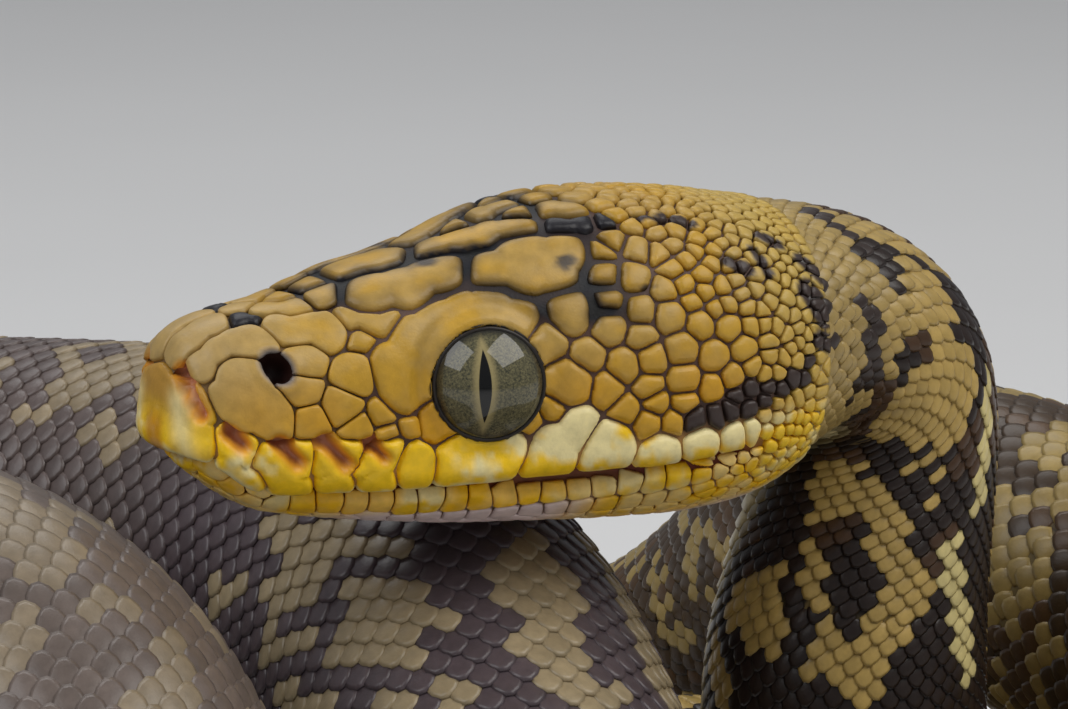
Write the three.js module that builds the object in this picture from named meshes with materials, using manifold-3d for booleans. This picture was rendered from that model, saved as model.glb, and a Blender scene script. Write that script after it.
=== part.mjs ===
// Timor python, subadult, coiled with its head resting on its own coils.
// Life size, in millimetres, +Z up. The floor is z = 0 and the animal faces -X and -Y.
// The whole body is one loft along ROUTE, from the snout to the tail tip. It is parted
// by thin cuts into head, lower jaw, neck, lengths of trunk, and tail.

import * as THREE from 'three';
import { mergeVertices } from 'three/addons/utils/BufferGeometryUtils.js';
import Module from 'manifold-3d';

// ---------------------------------------------------------------- driving dimensions
const GAP = 0.4;               // thin cut between neighbouring pieces
const STEP = 4;                // spacing of the smoothed route
const EASE_PASSES = 12;        // how often the route is averaged with its neighbours
const SPLINE_CUTS = 20;        // spline samples between two route points
const BELLY = 0.95;            // depth of the flatter belly, as a share of the radius
const FLOOR_SINK = 0.35;       // how deep a resting belly is pressed flat by the floor
const BODY_SIDES = 16;
const RING_STEP = 8;
const HEAD_SIDES = 28;
const HEAD_RING_STEP = 2.2;
const BLUNT_SNOUT = 6;         // ahead of this the rings follow the head table one by one
const HEAD_END = 58;           // distance from the snout at which the neck begins
const NECK_END = 112;
const VENT = 936;
const TRUNK_LENGTHS = 8;

// Axis of the body, from the snout to the tail tip.
const ROUTE = [
  [-28, -4, 70], [-5.5, 9, 70], [17, 22, 70], [24.2, 26.1, 71.6], [29.7, 29.3, 69.6], [31, 31, 61.3],
  [27.4, 30.6, 53], [25.2, 30, 45], [24.8, 29.5, 36], [25.5, 30.5, 27], [27.5, 34, 18.5], [30, 42, 12.5],
  [33, 52, 11], [33, 62, 11], [28, 71, 11], [17, 76.5, 11.2], [3, 78, 11.2], [-12, 76.5, 11.5],
  [-28, 72.5, 11.5], [-44, 67, 11.5], [-60, 58.5, 12], [-76, 47, 12], [-88, 31, 12.5], [-94, 10, 13],
  [-93, -14, 13], [-86, -37, 13], [-73, -55, 13], [-56, -63, 13.5], [-40, -59, 16.6], [-31.5, -47, 23.2],
  [-30.5, -33, 33], [-34, -19, 42.6], [-42, -7, 48.2], [-55, 0.5, 49.2], [-70, 4.5, 49], [-83, 14.5, 48.5],
  [-87, 29.5, 48], [-79, 43.5, 47], [-62, 51, 46], [-42, 49.5, 45.4], [-23.5, 40, 46.8], [-9.7, 25, 43.6],
  [-3.5, 8.5, 35], [0.3, -7, 24.2], [5, -22, 15.8], [17, -34, 14], [33, -38, 14], [49, -33, 14],
  [62, -20, 14], [69, -2, 14.8], [70, 16, 19.8], [65, 33, 28], [56, 48, 36], [45, 62, 40.5],
  [36, 76, 40.5], [29, 91, 35.5], [22, 104.5, 24.5], [12, 115, 14], [-3, 121, 9.8], [-20, 123, 9.2],
  [-39, 122, 8.5], [-59, 117.5, 7.6], [-78, 109, 6.5], [-94, 96, 5.4], [-106, 80, 4.2], [-112.5, 62, 3.2],
  [-114, 46, 2.2], [-112, 31, 1.2],
];

// Which way the back faces: [distance from the snout, direction].
const BACK = [
  [0, [0, 0, 1]], [56, [0, 0, 1]], [66, [0.5, 0.15, 0.8]], [78, [0.9, -0.25, 0.25]], [90, [0.82, -0.57, 0]],
  [104, [0.82, -0.57, 0]], [122, [0.6, -0.1, 0.6]], [145, [0, 0, 1]], [2000, [0, 0, 1]],
];

// Head and neck sections: [distance from the snout, half width, top, bottom].
const HEAD = [
  [-0.5, 3.4, 2.6, 4.4], [0, 4.7, 3.7, 5.7], [1.3, 6.0, 4.8, 7.2], [3.2, 6.9, 5.5, 8.4],
  [6, 7.6, 6.0, 9.6], [9, 8.2, 6.4, 10.4], [12, 8.8, 7.3, 11.0], [15, 9.4, 8.2, 11.5],
  [19, 10.1, 8.9, 12.1], [23, 10.9, 10.0, 12.6], [27, 11.8, 11.3, 12.9], [32, 12.9, 12.2, 13.3],
  [37, 13.8, 12.3, 13.6], [42, 14.3, 11.9, 13.8], [47, 14.1, 11.2, 13.4], [51, 13.0, 10.4, 12.5],
  [54, 11.6, 10.0, 11.3], [58, 10.1, 9.7, 9.9], [63, 9.5, 9.5, 9.1],
];
const WIDEST_LEVEL = -2.5;     // height of the widest line of the head, from its axis
const LOWEST_WIDE_SHARE = 0.6; // the widest line stays above this share of the depth
const HEAD_SQUARENESS = 2.4;   // 2 is an ellipse, more is squarer
const ROUND_FROM = 47;         // the head section turns into the round neck from here
const ROUND_OVER = 14;

// Middle of the resting outline, from the frame in which the route is written.
const FOOTPRINT_CENTRE = [-16.05, 28.35];

// Body radius: [distance from the snout, radius].
const GIRTH = [
  [63, 9.5], [74, 10.1], [82, 11.1], [90, 12], [105, 12.4], [170, 12.4], [220, 12.9], [300, 14.2],
  [400, 15.8], [520, 17], [650, 17], [760, 15.8], [830, 14.4], [880, 13], [930, 11.2], [980, 8.8],
  [1030, 6.2], [1070, 3.9], [1088, 2.2], [1100, 1.3],
];

// Mouth line along the side of the head: [distance from the snout, height].
const MOUTH = [
  [-3, -5.0], [1, -5.4], [4, -7.5], [11, -8.3], [22, -8.4], [32, -8.1], [39, -7.8], [47, -6.6],
];
const JAW_REAR = [50.5, -20];  // foot of the slanting cut behind the jaw
const CHIN_REACH = -6;         // start of the jaw tool, ahead of the snout
const HEAD_TOOL_WIDTH = 40;
const MERGE_DISTANCE = 1e-4;

const EYE_RADIUS = 5.4;
const EYE = { along: 23.4, across: 7.2, up: -0.3 };
const EYE_SIDES = 24;
const EYE_SEAT = 0.35;         // clearance round the eyeball
const NOSTRIL = { along: 5.5, across: 6.3, up: 2.4, radius: 1.15, depth: 2.2, turn: 0.5, lift: 0.35 };
// Heat pits: one in the rostral shield and one in each of the first four upper lip shields.
const PITS = [
  { along: 0.9, across: 2.2, up: 0.1, radius: 0.8, turn: 1.3 },
  { along: 2.7, across: 5.3, up: -3.2, radius: 0.8, turn: 0.75 },
  { along: 6.8, across: 7.0, up: -4.2, radius: 0.9, turn: 0.4 },
  { along: 10.2, across: 8.0, up: -4.4, radius: 0.9, turn: 0.3 },
  { along: 13.5, across: 8.8, up: -4.5, radius: 0.75, turn: 0.25 },
];
const PIT_DEPTH = 1.3;
const PIT_SIDES = 8;

// ---------------------------------------------------------------- colours
const COLOURS = {
  head: 0xb98a34,
  lower_jaw: 0xd8b04a,
  eye: 0x3f4334,
  neck: 0x8a6c34,
  trunk: 0x7d6a4a,
  tail: 0x6b5534,
};

function skin(colour) {
  return new THREE.MeshStandardMaterial({ color: colour, roughness: 0.45, metalness: 0 });
}

// ---------------------------------------------------------------- reading the tables
function lookUp(table, x, column) {
  const last = table.length - 1;
  if (x <= table[0][0]) return table[0][column];
  for (let i = 0; i < last; i += 1) {
    const [low, high] = [table[i], table[i + 1]];
    if (x <= high[0]) {
      const share = (x - low[0]) / (high[0] - low[0]);
      return low[column] + share * (high[column] - low[column]);
    }
  }
  return table[last][column];
}

function backDirection(s) {
  const rows = BACK.map(([at, direction]) => [at, ...direction]);
  return new THREE.Vector3(lookUp(rows, s, 1), lookUp(rows, s, 2), lookUp(rows, s, 3));
}

// ---------------------------------------------------------------- the route
function splinePoints(points) {
  const first = points[0].clone().multiplyScalar(2).sub(points[1]);
  const final = points.at(-1).clone().multiplyScalar(2).sub(points.at(-2));
  const all = [first, ...points, final];
  const out = [];
  for (let i = 1; i < all.length - 2; i += 1) {
    for (let k = 0; k < SPLINE_CUTS; k += 1) {
      const t = k / SPLINE_CUTS;
      const weights = [
        -t + 2 * t * t - t ** 3,
        2 - 5 * t * t + 3 * t ** 3,
        t + 4 * t * t - 3 * t ** 3,
        -t * t + t ** 3,
      ];
      const point = new THREE.Vector3();
      weights.forEach((weight, j) => point.addScaledVector(all[i - 1 + j], weight / 2));
      out.push(point);
    }
  }
  out.push(points.at(-1).clone());
  return out;
}

function lengthsAlong(points) {
  const lengths = [0];
  for (let i = 1; i < points.length; i += 1) {
    lengths.push(lengths[i - 1] + points[i].distanceTo(points[i - 1]));
  }
  return lengths;
}

function evenlySpaced(points) {
  const lengths = lengthsAlong(points);
  const total = lengths.at(-1);
  const count = Math.round(total / STEP);
  const out = [];
  let j = 0;
  for (let i = 0; i <= count; i += 1) {
    const target = (total * i) / count;
    while (j < lengths.length - 2 && lengths[j + 1] < target) j += 1;
    const share = (target - lengths[j]) / (lengths[j + 1] - lengths[j]);
    out.push(points[j].clone().lerp(points[j + 1], share));
  }
  return out;
}

function eased(points) {
  let current = points;
  for (let pass = 0; pass < EASE_PASSES; pass += 1) {
    const before = current;
    current = before.map((point, i) => {
      if (i === 0 || i === before.length - 1) return point;
      return before[i - 1].clone().add(before[i + 1]).multiplyScalar(0.25).addScaledVector(point, 0.5);
    });
  }
  return current;
}

// The radius of neck, trunk and tail.
function radiusAt(s) {
  return lookUp(GIRTH, s, 1);
}

// Nothing lies lower than a belly pressed lightly on the floor.
function restedOnFloor(points) {
  const lengths = lengthsAlong(points);
  points.forEach((point, i) => {
    if (lengths[i] > HEAD_END) point.z = Math.max(point.z, radiusAt(lengths[i]) * BELLY - FLOOR_SINK);
  });
  return points;
}

const spine = restedOnFloor(evenlySpaced(eased(evenlySpaced(
  splinePoints(ROUTE.map(([x, y, z]) => new THREE.Vector3(x, y, z))),
))));
const spineLengths = lengthsAlong(spine);
const BODY_LENGTH = spineLengths.at(-1);

// Place and axes of the body at a distance s from the snout.
function frameAt(s) {
  const spacing = BODY_LENGTH / (spine.length - 1);
  const index = Math.min(Math.max(Math.floor(s / spacing), 0), spine.length - 2);
  const share = s / spacing - index;
  const tangentAt = (i) => {
    const before = spine[Math.max(i - 1, 0)];
    const after = spine[Math.min(i + 1, spine.length - 1)];
    return after.clone().sub(before).normalize();
  };
  const tangent = tangentAt(index).lerp(tangentAt(index + 1), share).normalize();
  const back = backDirection(s);
  back.addScaledVector(tangent, -back.dot(tangent)).normalize();
  return {
    centre: spine[index].clone().lerp(spine[index + 1], share),
    left: tangent.clone().cross(back),
    back,
    tangent,
  };
}

// A point given by its distance from the snout, its offset to the left and its height over the axis.
function place(along, across, up) {
  const frame = frameAt(along);
  return frame.centre.addScaledVector(frame.left, across).addScaledVector(frame.back, up);
}

// ---------------------------------------------------------------- cross-sections
function bodySection(s, angle) {
  const radius = radiusAt(s);
  const depth = Math.cos(angle) < 0 ? radius * BELLY : radius;
  return [radius * Math.sin(angle), depth * Math.cos(angle)];
}

function signedPower(value, power) {
  return Math.sign(value) * Math.abs(value) ** power;
}

function headSection(s, angle) {
  const halfWidth = lookUp(HEAD, s, 1);
  const top = lookUp(HEAD, s, 2);
  const bottom = -lookUp(HEAD, s, 3);
  const blend = Math.min(Math.max((s - ROUND_FROM) / ROUND_OVER, 0), 1);
  const level = Math.max(WIDEST_LEVEL * (1 - blend), bottom * LOWEST_WIDE_SHARE);
  const power = 2 / (HEAD_SQUARENESS + (2 - HEAD_SQUARENESS) * blend);
  const height = Math.cos(angle) > 0 ? top - level : level - bottom;
  return [
    halfWidth * signedPower(Math.sin(angle), power),
    level + height * signedPower(Math.cos(angle), power),
  ];
}

// A ring of points with one flat side at the belly.
function ring(s, sides, section) {
  const points = [];
  for (let k = 0; k < sides; k += 1) {
    const [across, up] = section(s, (2 * Math.PI * (k + 0.5)) / sides);
    const point = place(s, across, up);
    point.z = Math.max(point.z, 0);
    points.push(point);
  }
  return points;
}

// A closed solid through rings of equal count, with a flat fan at each end.
function loftGeometry(rings) {
  const sides = rings[0].length;
  const positions = rings.flat().flatMap((point) => [point.x, point.y, point.z]);
  const indices = [];
  for (let r = 0; r < rings.length - 1; r += 1) {
    for (let k = 0; k < sides; k += 1) {
      const [a, b] = [r * sides + k, r * sides + ((k + 1) % sides)];
      const [c, d] = [a + sides, b + sides];
      indices.push(a, b, c, b, d, c);
    }
  }
  const endRow = (rings.length - 1) * sides;
  for (let k = 1; k < sides - 1; k += 1) {
    indices.push(0, k + 1, k);
    indices.push(endRow, endRow + k, endRow + k + 1);
  }
  const geometry = new THREE.BufferGeometry();
  geometry.setAttribute('position', new THREE.Float32BufferAttribute(positions, 3));
  geometry.setIndex(indices);
  return geometry;
}

function bodyLength(from, to) {
  const count = Math.max(Math.round((to - from) / RING_STEP), 2);
  const rings = [];
  for (let i = 0; i <= count; i += 1) {
    rings.push(ring(from + ((to - from) * i) / count, BODY_SIDES, bodySection));
  }
  return loftGeometry(rings);
}

function wholeHeadGeometry() {
  const fine = HEAD.map(([s]) => s).filter((s) => s < BLUNT_SNOUT);
  const rings = fine.map((s) => ring(s, HEAD_SIDES, headSection));
  const end = HEAD_END - GAP / 2;
  const count = Math.round((end - BLUNT_SNOUT) / HEAD_RING_STEP);
  for (let i = 0; i <= count; i += 1) {
    rings.push(ring(BLUNT_SNOUT + ((end - BLUNT_SNOUT) * i) / count, HEAD_SIDES, headSection));
  }
  return loftGeometry(rings);
}

// ---------------------------------------------------------------- booleans
const wasm = await Module();
wasm.setup();

function toSolid(geometry) {
  const bare = geometry.clone();
  bare.deleteAttribute('normal');
  bare.deleteAttribute('uv');
  const merged = mergeVertices(bare, MERGE_DISTANCE);
  return new wasm.Manifold(new wasm.Mesh({
    numProp: 3,
    vertProperties: new Float32Array(merged.attributes.position.array),
    triVerts: new Uint32Array(merged.index.array),
  }));
}

function toGeometry(solid) {
  const mesh = solid.getMesh();
  const geometry = new THREE.BufferGeometry();
  geometry.setAttribute('position', new THREE.BufferAttribute(mesh.vertProperties, 3));
  geometry.setIndex(new THREE.BufferAttribute(mesh.triVerts, 1));
  return geometry;
}

// Moves a tool from head coordinates (x along, y to the right, z up) to its place.
function headMatrix() {
  const frame = frameAt(EYE.along);
  const origin = frame.centre.addScaledVector(frame.tangent, -EYE.along);
  return new THREE.Matrix4().makeBasis(frame.tangent, frame.left.negate(), frame.back).setPosition(origin);
}

// Everything below the mouth line and ahead of the jaw's rear cut.
function jawTool(grow) {
  const outline = new THREE.Shape();
  outline.moveTo(CHIN_REACH, JAW_REAR[1]);
  outline.lineTo(CHIN_REACH, MOUTH[0][1] + grow);
  MOUTH.forEach(([along, up]) => outline.lineTo(along + grow, up + grow));
  outline.lineTo(JAW_REAR[0] + grow, JAW_REAR[1]);
  const geometry = new THREE.ExtrudeGeometry(outline, { depth: HEAD_TOOL_WIDTH, bevelEnabled: false });
  geometry.translate(0, 0, -HEAD_TOOL_WIDTH / 2);
  geometry.rotateX(Math.PI / 2);
  return geometry;
}

// A short round pit that points into the head, its mouth a little proud of the skin.
// It is turned towards the snout and lifted towards the crown. side is 1 on the left.
function pitTool(spot, side, depth) {
  const geometry = new THREE.CylinderGeometry(spot.radius, spot.radius, depth * 2, PIT_SIDES);
  geometry.rotateX(side * (spot.lift ?? 0));
  geometry.rotateZ(side * spot.turn);
  geometry.translate(spot.along, -side * spot.across, spot.up);
  return geometry;
}

function eyeGeometry(side, radius) {
  const geometry = new THREE.SphereGeometry(radius, EYE_SIDES, EYE_SIDES / 2);
  geometry.translate(EYE.along, -side * EYE.across, EYE.up);
  return geometry.applyMatrix4(headMatrix());
}

// ---------------------------------------------------------------- the sub-parts
function named(name, geometry, colour) {
  const mesh = new THREE.Mesh(geometry, skin(colour));
  mesh.name = name;
  return mesh;
}

function headMeshes() {
  const toHead = headMatrix();
  let upper = toSolid(wholeHeadGeometry());
  const lower = upper.intersect(toSolid(jawTool(0).applyMatrix4(toHead)));
  upper = upper.subtract(toSolid(jawTool(GAP).applyMatrix4(toHead)));
  for (const side of [1, -1]) {
    upper = upper.subtract(toSolid(eyeGeometry(side, EYE_RADIUS + EYE_SEAT)));
    upper = upper.subtract(toSolid(pitTool(NOSTRIL, side, NOSTRIL.depth).applyMatrix4(toHead)));
    for (const pit of PITS) {
      upper = upper.subtract(toSolid(pitTool(pit, side, PIT_DEPTH).applyMatrix4(toHead)));
    }
  }
  return [
    named('head', toGeometry(upper), COLOURS.head),
    named('lower_jaw', toGeometry(lower), COLOURS.lower_jaw),
    named('eye_left', eyeGeometry(1, EYE_RADIUS), COLOURS.eye),
    named('eye_right', eyeGeometry(-1, EYE_RADIUS), COLOURS.eye),
  ];
}

function trunkMeshes() {
  const each = (VENT - NECK_END) / TRUNK_LENGTHS;
  return Array.from({ length: TRUNK_LENGTHS }, (_, i) => {
    const from = NECK_END + each * i;
    return named(`trunk_${i + 1}`, bodyLength(from + GAP / 2, from + each - GAP / 2), COLOURS.trunk);
  });
}

const group = new THREE.Group();
group.add(...headMeshes());
group.add(named('neck', bodyLength(HEAD_END + GAP / 2, NECK_END - GAP / 2), COLOURS.neck));
group.add(...trunkMeshes());
group.add(named('tail', bodyLength(VENT + GAP / 2, BODY_LENGTH), COLOURS.tail));

// The origin is on the floor under the middle of the animal.
group.position.set(-FOOTPRINT_CENTRE[0], -FOOTPRINT_CENTRE[1], 0);

export default group;
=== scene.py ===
"""A subadult Timor python, life size, resting on its own coils.

The body is one loft along ROUTE, from the snout to the tail tip. One skin covers it all. Over the
skin lie the head shields, the lip and chin shields, the body scales and the belly scutes, each a
closed solid. Lengths are millimetres here and become metres when a mesh is made.
"""
import functools
import math

import bpy
import numpy as np
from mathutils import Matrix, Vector


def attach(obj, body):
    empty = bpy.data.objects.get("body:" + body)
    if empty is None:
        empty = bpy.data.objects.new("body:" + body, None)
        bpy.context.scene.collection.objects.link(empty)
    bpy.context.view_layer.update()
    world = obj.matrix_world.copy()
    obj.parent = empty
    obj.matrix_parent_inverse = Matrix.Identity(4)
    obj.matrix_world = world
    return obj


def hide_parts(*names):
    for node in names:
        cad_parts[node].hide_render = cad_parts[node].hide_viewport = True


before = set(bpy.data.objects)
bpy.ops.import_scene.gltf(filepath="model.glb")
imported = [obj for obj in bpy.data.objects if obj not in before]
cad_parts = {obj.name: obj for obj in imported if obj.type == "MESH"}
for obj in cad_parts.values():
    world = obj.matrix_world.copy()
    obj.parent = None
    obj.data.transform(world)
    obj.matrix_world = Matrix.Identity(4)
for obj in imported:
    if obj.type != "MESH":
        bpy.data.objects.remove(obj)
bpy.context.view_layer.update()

MM = 0.001

# ------------------------------------------------------------------ the body's driving dimensions
STEP = 4.0                # spacing of the smoothed route
EASE_PASSES = 12
SPLINE_CUTS = 20
TANGENT_REACH = 2         # how far ahead and behind the axis is read for its direction
BELLY = 0.95              # depth of the flatter belly, as a share of the radius
FLOOR_SINK = 0.35         # how deep a resting belly is pressed flat by the floor
HEAD_END = 58.0
NECK_END = 112.0
VENT = 936.0
TRUNK_LENGTHS = 8
LENGTH_NAMES = ["neck", *(f"trunk_{i + 1}" for i in range(TRUNK_LENGTHS)), "tail"]
FOOTPRINT_CENTRE = np.array([-16.05, 28.35, 0.0])

# Axis of the body, from the snout to the tail tip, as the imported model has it.
ROUTE = [
    [-28, -4, 70], [-5.5, 9, 70], [17, 22, 70], [24.2, 26.1, 71.6], [29.7, 29.3, 69.6], [31, 31, 61.3],
    [27.4, 30.6, 53], [25.2, 30, 45], [24.8, 29.5, 36], [25.5, 30.5, 27], [27.5, 34, 18.5],
    [30, 42, 12.5], [33, 52, 11], [33, 62, 11], [28, 71, 11], [17, 76.5, 11.2], [3, 78, 11.2],
    [-12, 76.5, 11.5], [-28, 72.5, 11.5], [-44, 67, 11.5], [-60, 58.5, 12], [-76, 47, 12],
    [-88, 31, 12.5], [-94, 10, 13], [-93, -14, 13], [-86, -37, 13], [-73, -55, 13], [-56, -63, 13.5],
    [-40, -59, 16.6], [-31.5, -47, 23.2], [-30.5, -33, 33], [-34, -19, 42.6], [-42, -7, 48.2],
    [-55, 0.5, 49.2], [-70, 4.5, 49], [-83, 14.5, 48.5], [-87, 29.5, 48], [-79, 43.5, 47],
    [-62, 51, 46], [-42, 49.5, 45.4], [-23.5, 40, 46.8], [-9.7, 25, 43.6], [-3.5, 8.5, 35],
    [0.3, -7, 24.2], [5, -22, 15.8], [17, -34, 14], [33, -38, 14], [49, -33, 14], [62, -20, 14],
    [69, -2, 14.8], [70, 16, 19.8], [65, 33, 28], [56, 48, 36], [45, 62, 40.5], [36, 76, 40.5],
    [29, 91, 35.5], [22, 104.5, 24.5], [12, 115, 14], [-3, 121, 9.8], [-20, 123, 9.2],
    [-39, 122, 8.5], [-59, 117.5, 7.6], [-78, 109, 6.5], [-94, 96, 5.4], [-106, 80, 4.2],
    [-112.5, 62, 3.2], [-114, 46, 2.2], [-112, 31, 1.2],
]

# Which way the back faces: distance from the snout, then a direction.
BACK = [
    [0, 0, 0, 1], [56, 0, 0, 1], [66, 0.5, 0.15, 0.8], [78, 0.9, -0.25, 0.25], [90, 0.82, -0.57, 0],
    [104, 0.82, -0.57, 0], [122, 0.6, -0.1, 0.6], [145, 0, 0, 1], [2000, 0, 0, 1],
]

# Head and neck sections: distance from the snout, half width, top, bottom.
HEAD = [
    [-0.5, 3.4, 2.6, 4.4], [0, 4.7, 3.7, 5.7], [1.3, 6.0, 4.8, 7.2], [3.2, 6.9, 5.5, 8.4],
    [6, 7.6, 6.0, 9.6], [9, 8.2, 6.4, 10.4], [12, 8.8, 7.3, 11.0], [15, 9.4, 8.2, 11.5],
    [19, 10.1, 8.9, 12.1], [23, 10.9, 10.0, 12.6], [27, 11.8, 11.3, 12.9], [32, 12.9, 12.2, 13.3],
    [37, 13.8, 12.3, 13.6], [42, 14.3, 11.9, 13.8], [47, 14.1, 11.2, 13.4], [51, 13.0, 10.4, 12.5],
    [54, 11.6, 10.0, 11.3], [58, 10.1, 9.7, 9.9], [63, 9.5, 9.5, 9.1],
]
FIRST_RING = -0.5         # place of the first ring of the snout along the body
WIDEST_LEVEL = -2.5       # height of the widest line of the head, from its axis
LOWEST_WIDE_SHARE = 0.6
HEAD_SQUARENESS = 2.4     # 2 is an ellipse, more is squarer
ROUND_FROM = 47.0         # the head section turns into the round neck from here
ROUND_OVER = 14.0
NECK_START = 63.0

# Body radius: distance from the snout, radius.
GIRTH = [
    [63, 9.5], [74, 10.1], [82, 11.1], [90, 12], [105, 12.4], [170, 12.4], [220, 12.9], [300, 14.2],
    [400, 15.8], [520, 17], [650, 17], [760, 15.8], [830, 14.4], [880, 13], [930, 11.2], [980, 8.8],
    [1030, 6.2], [1070, 3.9], [1088, 2.2], [1100, 1.3],
]

# Mouth line along the side of the head: distance from the snout, height.
MOUTH = [
    [-3, -5.0], [1, -5.4], [4, -7.5], [11, -8.3], [22, -8.4], [32, -8.1], [39, -7.8], [47, -6.6],
]
MOUTH_CORNER = 45.0
# The mouth stands a little open in its middle: the gap opens over the first range of distances
# from the snout and closes over the second, in the flesh and between the shields.
FLESH_GAPE = ((22, 25), (32, 36))
SHIELD_GAPE = ((22, 26), (32, 36))

# ------------------------------------------------------------------ the coat
COAT = 0.45               # depth of the scales over the skin
CHIN_GROOVE = 0.7         # depth of the groove along the middle of the chin
HEAD_PART_END = 52.0      # head shields end here and body scales start
COLUMNS = 240             # points round each ring of the skin

EYE = np.array([23.4, 7.2, -0.3])
EYE_RADIUS = 5.4
GAZE_FORWARD = math.radians(18)
GAZE_UP = math.radians(6)
GAZE = np.array([
    -math.cos(GAZE_UP) * math.sin(GAZE_FORWARD),
    math.cos(GAZE_UP) * math.cos(GAZE_FORWARD),
    math.sin(GAZE_UP),
])
EYE_OPENING = 4.3         # radius of the round opening of the eye
RIM_ROOM = 0.15           # how far outside it the shields end
NOSTRIL = np.array([6.0, 6.65, 2.4])
NOSTRIL_SLANT = np.array([0.55, 0.25, -0.8])
NOSTRIL_ROUNDNESS = 0.75  # width of the nostril over its length
NOSTRIL_RADIUS = 0.92

# ------------------------------------------------------------------ the camera
CAMERA_DISTANCE = 450.0
CAMERA_AIM = np.array([0, 0, 72.0]) - FOOTPRINT_CENTRE
CAMERA_DROP = math.radians(12)
PIXELS_PER_MM = 13.0      # at the camera's aim
PHOTO_WIDTH = 1068
PHOTO_HEIGHT = 709
TO_CAMERA = np.array([0, -math.cos(CAMERA_DROP), math.sin(CAMERA_DROP)])


# ------------------------------------------------------------------ tables as smooth curves
def curve(table, x, column=1):
    """A smooth curve through one column of a table, held level past its ends."""
    table = np.asarray(table, float)
    at, value = table[:, 0], table[:, column]
    gap = np.diff(at)
    rise = np.diff(value) / gap
    slope = np.empty_like(value)
    slope[1:-1] = (gap[1:] * rise[:-1] + gap[:-1] * rise[1:]) / (gap[1:] + gap[:-1])
    slope[0], slope[-1] = rise[0], rise[-1]
    x = np.clip(x, at[0], at[-1])
    i = np.clip(np.searchsorted(at, x, side="right") - 1, 0, len(gap) - 1)
    t = (x - at[i]) / gap[i]
    left = value[i] * (1 + 2 * t) * (1 - t) ** 2 + slope[i] * gap[i] * t * (1 - t) ** 2
    right = value[i + 1] * t * t * (3 - 2 * t) + slope[i + 1] * gap[i] * t * t * (t - 1)
    return left + right


def smooth(x, low, high):
    """0 below low, 1 above high, and an even slope between."""
    t = np.clip((x - low) / (high - low), 0, 1)
    return t * t * (3 - 2 * t)


def bell(x, width):
    """1 at 0, falling smoothly to 0 a few widths away."""
    return np.exp(-(x / width) ** 2)


def unit(vectors):
    return vectors / np.maximum(np.linalg.norm(vectors, axis=-1, keepdims=True), 1e-9)


# ------------------------------------------------------------------ the route
def lengths_along(points):
    steps = np.linalg.norm(np.diff(points, axis=0), axis=1)
    return np.concatenate([[0], np.cumsum(steps)])


def evenly_spaced(points):
    lengths = lengths_along(points)
    count = int(round(lengths[-1] / STEP))
    targets = np.linspace(0, lengths[-1], count + 1)
    return np.stack([np.interp(targets, lengths, points[:, k]) for k in range(3)], 1)


def spline_points(points):
    ends = np.vstack([2 * points[0] - points[1], points, 2 * points[-1] - points[-2]])
    out = []
    for i in range(1, len(ends) - 2):
        a, b, c, d = ends[i - 1:i + 3]
        for t in np.arange(SPLINE_CUTS) / SPLINE_CUTS:
            cubic = (3 * b - a - 3 * c + d) * t ** 3
            out.append(0.5 * (2 * b + (c - a) * t + (2 * a - 5 * b + 4 * c - d) * t * t + cubic))
    out.append(points[-1])
    return np.array(out)


def spine_points():
    points = evenly_spaced(spline_points(np.array(ROUTE, float)))
    for _ in range(EASE_PASSES):
        eased = points.copy()
        eased[1:-1] = 0.25 * points[:-2] + 0.5 * points[1:-1] + 0.25 * points[2:]
        points = eased
    points = evenly_spaced(points)
    at = lengths_along(points)
    rest = np.interp(at, *np.array(GIRTH, float).T) * BELLY - FLOOR_SINK
    points[:, 2] = np.where(at > HEAD_END, np.maximum(points[:, 2], rest), points[:, 2])
    return points - FOOTPRINT_CENTRE


SPINE = spine_points()
BODY_LENGTH = lengths_along(SPINE)[-1]
SPINE_TABLE = np.column_stack([np.linspace(0, BODY_LENGTH, len(SPINE)), SPINE])


def spine_at(s):
    """Points of the axis at distances from the snout."""
    return np.stack([curve(SPINE_TABLE, s, column) for column in (1, 2, 3)], -1)


def frames(s):
    """Centre, left, back and tangent of the body at distances s from the snout."""
    s = np.asarray(s, float)
    inside = np.clip(s, 0, BODY_LENGTH)
    tangent = unit(spine_at(inside + TANGENT_REACH) - spine_at(inside - TANGENT_REACH))
    back = np.stack([np.interp(s, *np.array(BACK, float)[:, (0, k)].T) for k in (1, 2, 3)], -1)
    back = unit(back - tangent * (back * tangent).sum(-1, keepdims=True))
    centre = spine_at(inside) + tangent * (s - inside)[..., None]
    return centre, np.cross(tangent, back), back, tangent


def radius(s):
    return curve(GIRTH, s)


def signed_power(value, power):
    return np.sign(value) * np.abs(value) ** power


def curl_table():
    """How tightly the body bends at each point of the axis, towards its left and its back."""
    at = SPINE_TABLE[:, 0]
    _, left, back, tangent = frames(at)
    bend = np.gradient(tangent, at, axis=0)
    return np.column_stack([at, (bend * left).sum(1), (bend * back).sum(1)])


CURL = curl_table()
FOLD_DEPTH = 0.7          # depth of the folds of skin on the inner side of a bend
FOLD_SPACING = 5.2
FOLD_WANDER = 0.35        # how far they shift round the body, in spacings
FOLD_TIGHTNESS = (0.2, 0.75)  # the body's radius over the bend's where folds begin and are full
FOLD_START = (58, 66)     # distances from the snout over which they set in


def folds(s, angle):
    """Depth of the folds of loose skin on the inner side of each bend."""
    to_left, to_back = (np.interp(s, CURL[:, 0], CURL[:, column]) for column in (1, 2))
    curl = to_left * np.sin(angle) + to_back * np.cos(angle)
    tight = smooth(curl * radius(s), *FOLD_TIGHTNESS)
    turns = np.asarray(s) / FOLD_SPACING + FOLD_WANDER * np.sin(3 * np.asarray(angle))
    wave = np.sin(2 * math.pi * turns)
    return FOLD_DEPTH * tight * (0.5 + 0.5 * wave) * smooth(s, *FOLD_START)


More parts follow.
